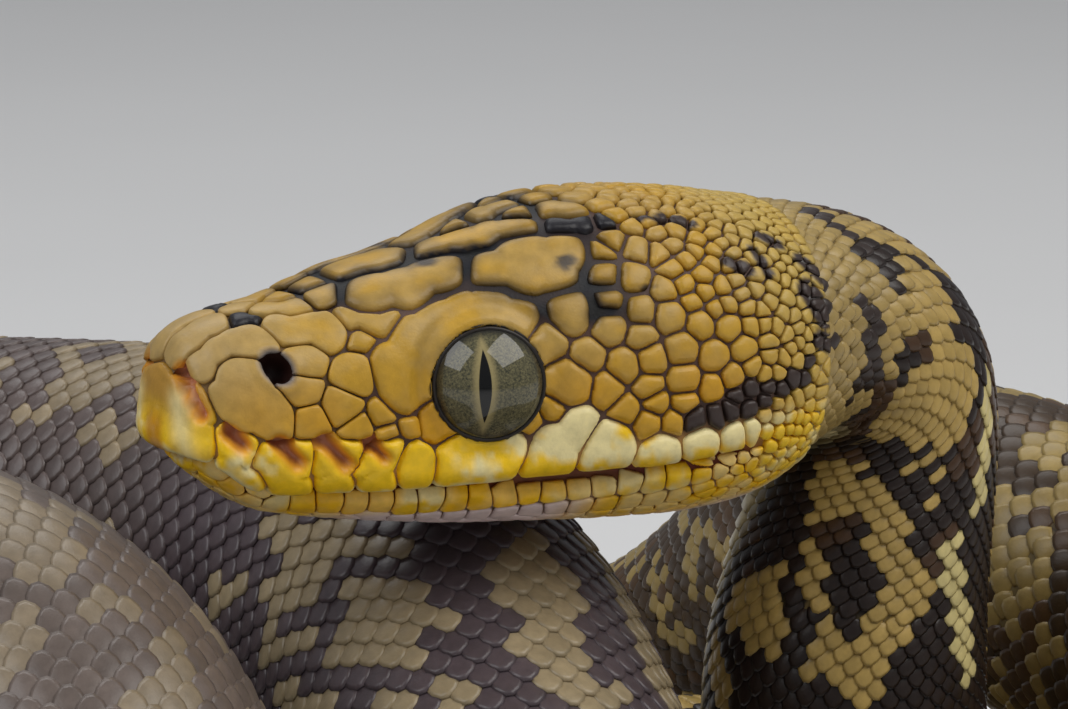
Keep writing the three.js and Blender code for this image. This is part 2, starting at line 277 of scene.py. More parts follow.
def section(s, angle):
    """Offset to the left and height over the axis, at an angle from the middle of the back."""
    half, top, bottom = curve(HEAD, s, 1), curve(HEAD, s, 2), -curve(HEAD, s, 3)
    blend = np.clip((s - ROUND_FROM) / ROUND_OVER, 0, 1)
    level = np.maximum(WIDEST_LEVEL * (1 - blend), bottom * LOWEST_WIDE_SHARE)
    power = 2 / (HEAD_SQUARENESS + (2 - HEAD_SQUARENESS) * blend)
    height = np.where(np.cos(angle) > 0, top - level, level - bottom)
    head = (half * signed_power(np.sin(angle), power), level + height * signed_power(np.cos(angle), power))
    r = radius(s) - folds(s, angle)
    body = (r * np.sin(angle), np.where(np.cos(angle) < 0, r * BELLY, r) * np.cos(angle))
    is_head = np.asarray(s) < NECK_START
    return np.where(is_head, head[0], body[0]), np.where(is_head, head[1], body[1])


def place(s, across, up):
    """World points from distances along, offsets to the left and heights over the axis."""
    centre, left, back, _ = frames(s)
    return centre + left * np.asarray(across)[..., None] + back * np.asarray(up)[..., None]


# ------------------------------------------------------------------ places that the camera sees
# Shields and markings are listed by the pixels of the 1068 x 709 photograph at which they lie, as
# (right, down). Those that it doesn't show are listed by their place on the body.
SIGHT_STEP = 0.25         # spacing of the surface samples along the body
SIGHT_TURNS = 720         # surface samples round the body
SIGHT_REACH = 6.0         # pixels within which a sample may be what a pixel shows
SIGHT_DEPTH = 1.5         # how far behind the nearest of them it may lie
LEAST_MARKING_RADIUS = 4  # markings lie as if the body were nowhere thinner than this


def to_pixels(points):
    """Pixels at which world points appear, and how far past the camera's aim they lie."""
    offset = points - CAMERA_AIM
    lean, rise = math.sin(CAMERA_DROP), math.cos(CAMERA_DROP)
    depth = offset[..., 1] * rise - offset[..., 2] * lean
    per_mm = PIXELS_PER_MM * CAMERA_DISTANCE / (CAMERA_DISTANCE + depth)
    right = PHOTO_WIDTH / 2 + per_mm * offset[..., 0]
    down = PHOTO_HEIGHT / 2 - per_mm * (offset[..., 1] * lean + offset[..., 2] * rise)
    return np.stack([right, down], -1), depth


def head_place(s, angle):
    """Head coordinates: distance along, offset to the left and height."""
    return np.stack([s, *section(s, angle)], -1)


def marking_radius(s):
    return np.maximum(radius(s), LEAST_MARKING_RADIUS)


def side_place(s, angle):
    """Place on the body unrolled: distance along it and distance round from its back."""
    return np.stack([s, angle * marking_radius(s)], -1)


def tube_place(s, angle):
    """Place on the body drawn out straight."""
    r = marking_radius(s)
    return np.stack([s, r * np.sin(angle), r * np.cos(angle)], -1)


def faces_camera(s, angle):
    """Whether the side of the body at an angle from its back is turned to the camera."""
    _, left, back, _ = frames(s)
    outward = left * np.sin(angle)[..., None] + back * np.cos(angle)[..., None]
    return outward @ TO_CAMERA > 0


class Sight:
    """The stretch of the body between two distances, as the camera sees it."""

    def __init__(self, start, end, describe):
        along = np.arange(start, end, SIGHT_STEP)
        round_it = np.linspace(-math.pi, math.pi, SIGHT_TURNS, endpoint=False)
        s, angle = np.meshgrid(along, round_it, indexing="ij")
        pixels, depth = to_pixels(place(s, *section(s, angle)))
        self.pixels = pixels.reshape(-1, 2)
        self.depth = depth.ravel()
        self.places = describe(s, angle).reshape(len(self.depth), -1)

    def place_at(self, mark):
        """The place seen at a pixel. A place given by three body coordinates is kept."""
        if len(mark) == 3:
            return np.array(mark, float)
        gap = np.linalg.norm(self.pixels - mark, axis=1)
        close = np.flatnonzero(gap < max(SIGHT_REACH, gap.min() + 1))
        front = close[self.depth[close] < self.depth[close].min() + SIGHT_DEPTH]
        return self.places[front[gap[front].argmin()]]

    def lines(self, marks):
        """Lines as start, end and half width, from marks as half width and points."""
        out = []
        for wide, *points in marks:
            places = [self.place_at(point) for point in points]
            pairs = zip(places[:1] + places[:-1], places)
            out += [(start, end, wide) for start, end in pairs]
        return out


# ------------------------------------------------------------------ procedural noise
LATTICE = 32              # the random numbers of the noise repeat after this many cells
# Each noise: size of a cell in millimetres, and the seed of its random numbers.
RAGGED = (2.8, 5)
WORN = (3.4, 9)
GOLD_CLOUD = (3.0, 21)
GOLD_SPECK = (0.7, 22)
LIP_CLOUD = (2.2, 23)
LIP_SPECK = (0.55, 24)
LOWER_LIP_CLOUD = (3.6, 25)
BLEED = (1.1, 26)
SEAM_CLOUD = (2.4, 27)
SPOT_EDGE = (0.8, 28)
NET_SEED = 3              # of the random numbers that place the cells of the net
FILL_SEED = 11
SCALE_SEED = 41
SCUTE_SEED = 43


@functools.cache
def random_lattice(seed, values):
    """Random numbers on the corners of a cube of cells, with several values at each."""
    return np.random.RandomState(seed).rand(LATTICE, LATTICE, LATTICE, values)


def noise(points, size, seed):
    """Smooth value noise from 0 to 1, with cells of the given size."""
    lattice = random_lattice(seed, 1)[..., 0]
    cell = np.asarray(points, float) / size
    low = np.floor(cell).astype(int)
    t = cell - low
    t = t * t * (3 - 2 * t)
    total = 0
    for corner in np.ndindex(2, 2, 2):
        index = tuple((low[..., k] + corner[k]) % LATTICE for k in range(3))
        weight = 1
        for k in range(3):
            weight = weight * (t[..., k] if corner[k] else 1 - t[..., k])
        total = total + weight * lattice[index]
    return total


def colour(red, green, blue):
    """A colour given as it looks on a screen, 0 to 255, as the linear numbers that Blender uses."""
    value = np.array([red, green, blue]) / 255
    return np.where(value <= 0.04045, value / 12.92, ((value + 0.055) / 1.055) ** 2.4)


def mix(a, b, share):
    share = np.asarray(share)[..., None]
    return a * (1 - share) + b * share


# ------------------------------------------------------------------ markings of the body
NET = colour(36, 25, 20)            # near-black brown net on the neck
NET_BROWN = colour(84, 58, 34)      # worn brown scales within the net
NECK_BLOTCH = colour(176, 148, 84)  # yellow-tan blotches
TRUNK_DARK = colour(74, 64, 70)     # purple-brown net of the trunk
TRUNK_LIGHT = colour(152, 136, 106)
REAR_DARK = colour(54, 38, 24)
REAR_LIGHT = colour(152, 130, 76)
BELLY_PALE = colour(196, 180, 132)
NAPE_TAN = colour(162, 138, 84)
STRIPE = colour(206, 190, 130)
BAR = colour(54, 44, 40)
# Share of the trunk's greyer colours, of the warmer rear colours, and of painted shade, by distance
# from the snout: a dull, darker tone with less contrast, strongest on the stretches that lie in shade.
GREY = [[60, 0], [160, 0], [330, 1], [665, 1], [705, 0], [1100, 0]]
REAR = [[60, 0], [665, 0], [715, 1], [1100, 1]]
PAINTED_SHADE_SHARE = [
    [60, 0], [300, 0], [335, 0.3], [430, 0.6], [480, 0.65], [560, 0.4], [600, 0.4], [612, 0.1], [1100, 0.1],
]
PAINTED_SHADE_PALE_SHARE = 0.35        # share of the pale colour in that tone
WORN_SHARE = 0.55         # how strongly the worn scales within the net are brown
BELLY_FADE = (2.3, 2.6)   # angles from the back over which the sides turn pale below
BELLY_SHARE = 0.85
NAPE_BARS_END = 60
# Size of one cell of the net, and how wide the net is, by distance from the snout.
CELL = [[60, 9], [120, 10], [300, 13], [600, 14], [830, 12], [1100, 7]]
NET_WIDTH = [[50, -0.2], [60, -0.1], [100, 0.2], [300, 0.2], [650, 0.19], [1100, 0.24]]
# Pale blotches of the neck: half width and the pixels along the middle of each.
NECK_BLOTCHES = [
    (1.6, (876, 281), (860, 290)), (1.8, (920, 278)), (1.8, (896, 328), (930, 312)),
    (1.4, (862, 362), (889, 364)), (2.2, (947, 349), (964, 369), (916, 396), (896, 423)),
    (2.0, (896, 423), (957, 426)), (1.6, (859, 403), (819, 436)), (1.7, (842, 470), (822, 511)),
    (2.0, (869, 494), (896, 544), (910, 595), (883, 646)), (1.5, (808, 551), (819, 595)),
    (1.6, (775, 575), (734, 605), (771, 632)), (1.1, (829, 595), (825, 632)),
    (1.8, (829, 652), (869, 686)), (1.6, (711, 636), (717, 686)),
    (0.8, (903, 470)), (0.8, (927, 463)), (0.8, (947, 467)), (0.8, (943, 497)),
    (1.8, (760, 208), (815, 222)), (1.6, (838, 214), (862, 222)), (1.6, (892, 232), (925, 248)),
    (1.0, (945, 300), (950, 315)),
]
# The pale stripe on the neck, in the same form.
STRIPES = [(1.0, (990, 396), (982, 497)), (1.3, (954, 555), (972, 669))]
NECK_PLACED = (56.0, 97.0)          # the distances between which the neck's blotches are placed
NECK_RAGGED = 1.6                   # how far their edges wander
# Pale blotches of the loop below the head, in the same form.
LOOP_BLOTCHES = [
    (3.6, (527, 561), (549, 632), (576, 677)), (3.6, (625, 552), (661, 659)),
    (1.3, (357, 588), (429, 606)), (1.3, (348, 619), (437, 619)), (1.3, (357, 654), (437, 655)),
    (1.3, (370, 690), (451, 690)), (1.4, (268, 640), (339, 641)), (1.4, (277, 695), (335, 695)),
    (1.5, (214, 590), (303, 590)), (0.8, (324, 615)), (0.8, (315, 668)), (1.5, (268, 540), (388, 541)),
]
LOOP_PLACED = (606.0, 662.0)
LOOP_RAGGED = 3.0
# Dark bars on the nape, in the same form. Each has a twin. The last two are hidden.
NAPE_BARS = [
    (0.55, (662, 217), (690, 224)), (0.6, (761, 236), (778, 244)), (0.6, (729, 261), (748, 269)),
    (0.5, (754, 249), (768, 274)), (0.65, (800, 259), (820, 278)), (1.1, (808, 291), (825, 315)),
    (0.8, (819, 339), (832, 345)), (0.4, (636, 217), (684, 222)),
    (0.9, (55, 3, 9.5), (57, 6.5, 8)), (1.1, (56.5, 10, 3), (58.5, 10, -2)),
]

head_sight = Sight(FIRST_RING, HEAD_END, head_place)
neck_sight = Sight(*NECK_PLACED, side_place)
loop_sight = Sight(*LOOP_PLACED, side_place)
nape_bar_lines = head_sight.lines(NAPE_BARS)
neck_lines = neck_sight.lines(NECK_BLOTCHES)
stripe_lines = neck_sight.lines(STRIPES)
loop_lines = loop_sight.lines(LOOP_BLOTCHES)


def to_capsule(points, start, end):
    """Distance to a line from start to end."""
    axis = np.subtract(end, start)
    along = np.clip(((points - start) @ axis) / max(axis @ axis, 1e-9), 0, 1)
    return np.linalg.norm(points - start - along[..., None] * axis, axis=-1)


def from_lines(points, lines):
    """Distance from the edge of the nearest of some lines, negative inside it."""
    return np.min([to_capsule(points, start, end) - wide for start, end, wide in lines], axis=0)


def on_left(local):
    """Body coordinates with the right side folded on to the left."""
    folded = np.array(local)
    folded[..., 1] = np.abs(folded[..., 1])
    return folded


def from_nape_bars(local):
    """Distance of a point of the head or nape from the edge of the nearest dark bar."""
    return from_lines(on_left(local), nape_bar_lines)


def cell_depth(points, seed):
    """Distance in from the border of an irregular cell, in cells: 0 on the border."""
    lattice = random_lattice(seed, 3)
    low = np.floor(points).astype(int)
    best = np.full(points.shape[:-1], 9.0)
    second = best.copy()
    for corner in np.ndindex(3, 3, 3):
        cell = low + np.array(corner) - 1
        jitter = lattice[tuple(cell[..., k] % LATTICE for k in range(3))]
        gap = np.linalg.norm(points - cell - 0.1 - 0.8 * jitter, axis=-1)
        second = np.minimum(second, np.maximum(best, gap))
        best = np.minimum(best, gap)
    return second - best


def between(s, limits):
    """Whether a place lies between two distances from the snout."""
    return (s > limits[0]) & (s < limits[1])


def net_depth(s, angle):
    """Above 0 in a pale blotch and below 0 on the dark net."""
    size = np.interp(s, *np.array(CELL).T)
    at = tube_place(s, angle)
    ragged = noise(at, *RAGGED) - 0.5
    depth = cell_depth(at / size[..., None], NET_SEED) + 0.5 * ragged - np.interp(s, *np.array(NET_WIDTH).T)
    side = side_place(s, angle)
    seen = faces_camera(s, angle)
    neck = NECK_RAGGED * ragged - from_lines(side, neck_lines)
    loop = LOOP_RAGGED * ragged - from_lines(side, loop_lines)
    depth = np.where(seen & between(s, NECK_PLACED), neck, depth)
    return np.where(seen & between(s, LOOP_PLACED), loop, depth)


def body_colour(s, angle):
    """Colour of a scale or of the skin by its place on the body."""
    s, angle = np.broadcast_arrays(np.asarray(s, float), np.asarray(angle, float))
    angle = np.arctan2(np.sin(angle), np.cos(angle))
    grey, rear = (np.interp(s, *np.array(table).T) for table in (GREY, REAR))
    dark = mix(mix(NET, TRUNK_DARK, grey), REAR_DARK, rear)
    worn = (noise(tube_place(s, angle), *WORN) > 0.6) * (1 - grey) * WORN_SHARE
    dark = mix(dark, NET_BROWN, worn)
    light = mix(mix(NECK_BLOTCH, TRUNK_LIGHT, grey), REAR_LIGHT, rear)
    light = mix(light, NAPE_TAN, 1 - smooth(s, 56, 64))
    pale = net_depth(s, angle) > 0
    result = np.where(pale[..., None], light, dark)
    # painted shade: the stretches that lie in shade are turned towards one dull, darker tone
    result = mix(result, mix(dark, light, PAINTED_SHADE_PALE_SHARE), np.interp(s, *np.array(PAINTED_SHADE_SHARE).T))
    barred = (from_nape_bars(head_place(s, angle)) < 0) & (s < NAPE_BARS_END)
    result = np.where(barred[..., None], BAR, result)
    striped = (from_lines(side_place(s, angle), stripe_lines) < 0) & between(s, NECK_PLACED)
    result = np.where(striped[..., None], STRIPE, result)
    low = smooth(np.abs(angle), *BELLY_FADE)
    return mix(result, BELLY_PALE, low * BELLY_SHARE)


# ------------------------------------------------------------------ the skin as a grid of points
CAP_BULGE = 0.45          # how far the blunt snout swells ahead of its first ring
CAP_MIDDLE = -1.0         # height of the middle of the snout
FINEST_END = 4            # the rings are closest before this distance from the snout
SNOUT_STEP = 0.2          # spacing of the rings there, then on the head, then on the body
HEAD_STEP = 0.3
BODY_STEP = 3.0
RELIEF_END = (46, 50)     # distances over which the head's relief runs out
BODY_TINT_START = (47, 56)    # distances over which the skin takes on the body's colour


def skin_rows():
    """Distances from the snout, and how far each ring is drawn in towards its middle."""
    share = np.linspace(0.06, 0.96, 14)
    cap = np.column_stack([FIRST_RING - CAP_BULGE * np.sqrt(1 - share ** 2), share])
    snout = np.arange(FIRST_RING, FINEST_END, SNOUT_STEP)
    head = np.arange(FINEST_END, HEAD_PART_END, HEAD_STEP)
    body = np.arange(HEAD_PART_END, BODY_LENGTH, BODY_STEP)
    full = np.concatenate([snout, head, body])
    tip = np.linspace(0.9, 0.1, 5)
    tail = np.column_stack([BODY_LENGTH + radius(BODY_LENGTH) * np.sqrt(1 - tip ** 2), tip])
    return np.vstack([cap, np.column_stack([full, np.ones_like(full)]), tail])


def even_angles(s):
    """Angles that part the ring at s into equal lengths, starting under the belly."""
    fine = np.linspace(-math.pi, math.pi, 721)
    across, up = section(np.full_like(fine, s), fine)
    at = lengths_along(np.column_stack([across, up]))
    return np.interp(np.linspace(0, at[-1], COLUMNS, endpoint=False), at, fine)


def ring_grid(rows, columns):
    """Numbers of a grid's points, of their neighbours to the right, and its quads."""
    index = np.arange(rows * columns).reshape(rows, columns)
    right = np.roll(index, -1, 1)
    quads = np.stack([index[:-1], index[1:], right[1:], right[:-1]], -1).reshape(-1, 4)
    return index, right, quads


def halved(quads):
    """The triangles of some quads, facing the other way."""
    return np.vstack([quads[:, (0, 2, 1)], quads[:, (0, 3, 2)]])


def fan(a, b, tip):
    """Triangles from pairs of points to one tip."""
    return np.column_stack([a, b, np.full(len(a), tip)])


def grid_normals(points):
    """Outward normals of a grid whose columns close on themselves."""
    round_it = np.roll(points, -1, 1) - np.roll(points, 1, 1)
    along = np.gradient(points, axis=0)
    return unit(np.cross(round_it, along))


def mouth_offset(local):
    """Height over the mouth line."""
    return local[..., 2] - curve(MOUTH, local[..., 0])


# Heat pits: radius and the two ends of each slanting hollow.
PITS = [
    (0.66, (179, 371), (200, 415)),
    (0.68, (228, 434), (244, 446)),
    (0.72, (281, 444), (299, 463)),
    (0.70, (326, 442), (347, 463)),
    (0.52, (369, 444), (384, 458)),
]
PIT_DEPTH = 1.05
PIT_RIM = 0.10            # how far the swollen rim of a pit stands up
MOUTH_DEPTH = 0.9         # depth of the groove between the lips
LIP_SWELL = 0.3           # how far the upper lip stands out
JAW_RECESS = 0.9          # how far the front of the lower jaw stands back
NOSTRIL_DEPTH = 1.9
NOSTRIL_RIM_HEIGHT = 0.2
EYE_MOAT = 1.6            # how deep the flesh sinks behind the eye's opening
BROW_HEIGHT = 0.45
pit_lines = head_sight.lines(PITS)


def in_pits(side):
    """Distance from the edge of the nearest pit, negative inside it."""
    return from_lines(side, pit_lines)


def round_the_nostril(side):
    """Distance from the middle of the slanting nostril, its long axis drawn in."""
    offset = side - NOSTRIL
    slant = (offset @ NOSTRIL_SLANT)[..., None] * NOSTRIL_SLANT
    return np.linalg.norm(offset - (1 - NOSTRIL_ROUNDNESS) * slant, axis=-1)


def round_the_eye(side):
    """Distance from the eye's line of gaze, from its centre, and whether a point is before it."""
    offset = side - EYE
    ahead = offset @ GAZE
    beside = np.linalg.norm(offset - ahead[..., None] * GAZE, axis=-1)
    return beside, np.linalg.norm(offset, axis=-1), ahead > 0


def hollows(local):
    """Distance to the nearest opening's rim (the eye or the nostril), negative inside it."""
    side = on_left(local)
    beside, _, before = round_the_eye(side)
    eye = np.where(before, beside - EYE_OPENING - RIM_ROOM, 9)
    return np.minimum(eye, round_the_nostril(side) - NOSTRIL_RADIUS)


def between_rises(x, rise, fall):
    """0 before one range, 1 from its end to the start of another, and 0 after that."""
    return smooth(x, *rise) * (1 - smooth(x, *fall))


def relief(local):
    """How far the flesh of the head rises or sinks at each point, in head coordinates."""
    side = on_left(local)
    along, up = side[..., 0], side[..., 2]
    over = mouth_offset(local)
    open_mouth = 1 - smooth(along, MOUTH_CORNER - 4, MOUTH_CORNER)
    gape = between_rises(along, *FLESH_GAPE)
    height = -(MOUTH_DEPTH + 0.7 * gape) * bell(over + 0.4 * gape, 0.45 + 0.35 * gape) * open_mouth
    height += LIP_SWELL * bell(over - 1.6, 1.2) * open_mouth
    height -= JAW_RECESS * (1 - smooth(along, 1, 7)) * smooth(-over, -0.3, 0.6)
    nostril = round_the_nostril(side)
    height -= NOSTRIL_DEPTH * (1 - smooth(nostril, 0.3, NOSTRIL_RADIUS + 0.2))
    height += NOSTRIL_RIM_HEIGHT * bell(nostril - NOSTRIL_RADIUS - 0.5, 0.4)
    pit = in_pits(side)
    height -= PIT_DEPTH * (1 - smooth(pit, -0.55, 0.15))
    height += PIT_RIM * bell(pit - 0.45, 0.4)
    chin = smooth(-up, 6, 8) * smooth(along, 4, 6) * (1 - smooth(along, 22, 26))
    height -= CHIN_GROOVE * bell(side[..., 1], 0.4) * chin
    return height + eye_seat(side)


def eye_seat(side):
    """How far the flesh is brought to the eyeball, sinks round it and rises in the brow."""
    beside, away, before = round_the_eye(side)
    seat = (EYE_RADIUS + 0.15 - away) * (1 - smooth(beside, EYE_OPENING + 0.2, EYE_OPENING + 2.6))
    seat -= EYE_MOAT * (1 - smooth(beside, EYE_OPENING - 0.5, EYE_OPENING - 0.1))
    seat += BROW_HEIGHT * bell(beside - EYE_OPENING - 0.8, 0.8) * smooth(side[..., 2], 1, 4)
    return np.where(before, seat, 0)


class Skin:
    """The skin's grid: places on the body, the flesh's outer surface and its normals."""

    def __init__(self):
        rows = skin_rows()
        self.s = rows[:, 0]
        shrink = rows[:, 1][:, None]
        self.angle = np.array([even_angles(s) for s in np.clip(self.s, FIRST_RING, BODY_LENGTH)])
        self.along = np.repeat(self.s[:, None], COLUMNS, 1)
        across, up = section(np.clip(self.along, FIRST_RING, BODY_LENGTH), self.angle)
        middle = np.where(self.along < 0, CAP_MIDDLE, 0)
        up = up * shrink + middle * (1 - shrink)
        self.local = np.stack([self.along, across * shrink, up], -1)
        base = place(self.along, self.local[..., 1], up)
        head_rows = int(np.searchsorted(self.s, HEAD_PART_END + 3))
        lift = np.zeros(self.along.shape)
        lift[:head_rows] = relief(self.local[:head_rows])
        lift *= 1 - smooth(self.along, *RELIEF_END)
        self.flesh = base + grid_normals(base) * lift[..., None]
        self.normal = grid_normals(self.flesh)
        self.head_local = self.local[:head_rows].reshape(-1, 3)
        self.head_flesh = self.flesh[:head_rows].reshape(-1, 3)


skin_grid = Skin()


# ------------------------------------------------------------------ making meshes
def placed(name, data):
    """A new object in the scene."""
    made = bpy.data.objects.new(name, data)
    bpy.context.scene.collection.objects.link(made)
    return made


def new_mesh(name, points, triangles, tint, uv=None):
    """A mesh object from arrays, with its points in millimetres."""
    mesh = bpy.data.meshes.new(name)
    mesh.vertices.add(len(points))
    mesh.vertices.foreach_set("co", (points * MM).astype(np.float32).ravel())
    mesh.loops.add(triangles.size)
    mesh.loops.foreach_set("vertex_index", triangles.astype(np.int32).ravel())
    mesh.polygons.add(len(triangles))
    mesh.polygons.foreach_set("loop_start", np.arange(0, triangles.size, 3, dtype=np.int32))
    mesh.polygons.foreach_set("use_smooth", np.ones(len(triangles), bool))
    mesh.update(calc_edges=True)
    layer = mesh.color_attributes.new("Tint", "FLOAT_COLOR", "POINT")
    rgba = np.column_stack([tint, np.ones(len(tint))]).astype(np.float32)
    layer.data.foreach_set("color", rgba.ravel())
    if uv is not None:
        bake = mesh.uv_layers.new(name="OFBake")
        bake.data.foreach_set("uv", uv[triangles.ravel()].astype(np.float32).ravel())
    mesh.validate()
    return placed(name, mesh)


MAP_MARGIN = 0.02         # free border of the bake map
MAP_PATCH = 0.0015        # size of one scale's patch on it


def unwrap(s, angle, start, end):
    """Place on the skin unrolled: along the body one way and round it the other."""
    along = MAP_MARGIN + (1 - 2 * MAP_MARGIN) * (s - start) / (end - start)
    return np.stack([along, 0.5 + (0.5 - MAP_MARGIN) * angle / math.pi], -1)


# ------------------------------------------------------------------ materials
def nodes_of(name):
    material = bpy.data.materials.new(name)
    material.use_nodes = True
    tree = material.node_tree
    return material, tree, tree.nodes["Principled BSDF"]


def give(tree, socket, value):
    """Sets an input to a value, or links it to another node's output."""
    if isinstance(value, bpy.types.NodeSocket):
        tree.links.new(value, socket)
    else:
        socket.default_value = value


def node(tree, kind, **settings):
    """A new node with its properties, and with the values or links of its inputs."""
    made = tree.nodes.new(kind)
    for key, value in settings.items():
        if key in made.inputs:
            give(tree, made.inputs[key], value)
        else:
            setattr(made, key, value)
    return made


def map_range(tree, value, target, source=(0, 1), kind="LINEAR"):
    """A value carried over from one range to another."""
    made = node(tree, "ShaderNodeMapRange", interpolation_type=kind, Value=value)
    for key, limit in zip(("From Min", "From Max", "To Min", "To Max"), (*source, *target)):
        made.inputs[key].default_value = limit
    return made.outputs["Result"]


def finish_shader(tree, shader, settings):
    for key, value in settings.items():
        give(tree, shader.inputs[key], value)


# Horn and skin: roughness, depth of the mottling, strength of the grain, and gloss.
SURFACES = {
    "skin_flesh": (0.5, 0.12, 0.25, 0.0),
    "head_horn": (0.40, 0.12, 0.22, 0.08),
    "body_horn": (0.34, 0.14, 0.2, 0.15),
    "belly_horn": (0.34, 0.10, 0.15, 0.2),
    "rim_skin": (0.35, 0.1, 0.2, 0.1),
}


def scale_material(name):
    """Scale horn: its tint, soft mottling, fine grain and a thin gloss."""
    roughness, mottle, grain, gloss = SURFACES[name]
    material, tree, shader = nodes_of(name)
    tint = node(tree, "ShaderNodeAttribute", attribute_name="Tint").outputs["Color"]
    at = node(tree, "ShaderNodeTexCoord").outputs["Object"]
    cloud = node(tree, "ShaderNodeTexNoise", Vector=at, Scale=900, Detail=4, Roughness=0.6)
    fine = node(tree, "ShaderNodeTexNoise", Vector=at, Scale=5200, Detail=2)
    lightness = map_range(tree, cloud.outputs["Fac"], (1 - mottle, 1 + mottle), (0.3, 0.7))
    shade = node(tree, "ShaderNodeVectorMath", operation="SCALE", Vector=tint, Scale=lightness)
    bump = node(tree, "ShaderNodeBump", Strength=grain, Distance=0.0001, Height=fine.outputs["Fac"])
    finish_shader(tree, shader, {
        "Base Color": shade.outputs["Vector"],
        "Normal": bump.outputs["Normal"],
        "Roughness": map_range(tree, cloud.outputs["Fac"], (roughness - 0.06, roughness + 0.1)),
        "Specular IOR Level": 0.35,
        "Coat Weight": gloss,
        "Coat Roughness": 0.25,
    })
    return material


def stage_material():
    material, tree, shader = nodes_of("floor_paper")
    grain = node(tree, "ShaderNodeTexNoise", Scale=60, Detail=3).outputs["Fac"]
    finish_shader(tree, shader, {"Base Color": map_range(tree, grain, (0.66, 0.70)), "Roughness": 0.9})
    return material


# ------------------------------------------------------------------ the skin
SEAM_BLACK = colour(16, 14, 20)
SEAM_BROWN = colour(86, 62, 52)
SNOUT_SEAM = colour(112, 86, 50)
LIP_SEAM = colour(166, 124, 66)
MOUTH_FLESH = colour(112, 44, 30)
PIT_FLESH = colour(178, 112, 78)
PIT_WALL = colour(222, 150, 40)
NOSTRIL_RIM = colour(104, 104, 112)
# painted shade inside the nostril's hollow
NOSTRIL_PAINTED_SHADE = colour(46, 20, 14)
EYE_RIM = colour(34, 28, 24)
THROAT = colour(205, 178, 150)
CROWN_EDGE = ([22, 28], [5.6, 3.4])   # lowest height of the crown's black seams
SKIN_DARKNESS = 0.5       # lightness of the skin between the body scales, over theirs


def darkness_of_seams(local):
    """1 where the crown's seams are broad and black, 0 elsewhere."""
    low = np.interp(local[..., 0], *CROWN_EDGE)
    crown = smooth(local[..., 2] - low, 0, 1.8) * smooth(local[..., 0], 4.5, 8)
    return crown * (1 - smooth(local[..., 0], 31, 37)) * (0.65 + 0.8 * noise(local, *SEAM_CLOUD))


def head_skin_colour(local):
    side = on_left(local)
    over = mouth_offset(local)
    tint = mix(SNOUT_SEAM, SEAM_BROWN, smooth(side[..., 0], 8, 13))
    tint = mix(tint, SEAM_BLACK, darkness_of_seams(local))
    tint = mix(tint, LIP_SEAM, smooth(-over, -4.0, -2.0))
    tint = mix(tint, THROAT, smooth(-over, 1.0, 3.0))
    tint = mix(tint, MOUTH_FLESH, bell(over + 0.3, 0.8) * (1 - smooth(side[..., 0], 43, 46)))
    tint = mix(tint, PIT_FLESH, 1 - smooth(in_pits(side), -0.3, 0.1))
    # painted shade: the inside of the nostril is painted a near-black brown
    tint = mix(tint, NOSTRIL_PAINTED_SHADE, 1 - smooth(round_the_nostril(side), NOSTRIL_RADIUS, NOSTRIL_RADIUS + 0.3))
    beside, _, before = round_the_eye(side)
    return mix(tint, EYE_RIM, (1 - smooth(beside, EYE_OPENING + 0.1, EYE_OPENING + 0.5)) * before)


def make_skin():
    grid = skin_grid
    points = grid.flesh - grid.normal * COAT
    points[..., 2] = np.maximum(points[..., 2], 0)
    body = body_colour(grid.along, grid.angle) * SKIN_DARKNESS
    tint = mix(head_skin_colour(grid.local), body, smooth(grid.along, *BODY_TINT_START))
    index, right, quads = ring_grid(*grid.along.shape)
    snout, tip = index.size, index.size + 1
    first = fan(index[0], right[0], snout)[:, (0, 2, 1)]
    last = fan(right[-1], index[-1], tip)[:, (0, 2, 1)]
    ends = [points[0].mean(0), points[-1].mean(0)]
    points = np.vstack([points.reshape(-1, 3), ends])
    tint = np.vstack([tint.reshape(-1, 3), tint[0, :1], tint[-1, :1]])
    piece = new_mesh("skin", points, np.vstack([halved(quads), first, last]), tint)
    piece.data.materials.append(scale_material("skin_flesh"))
    return piece


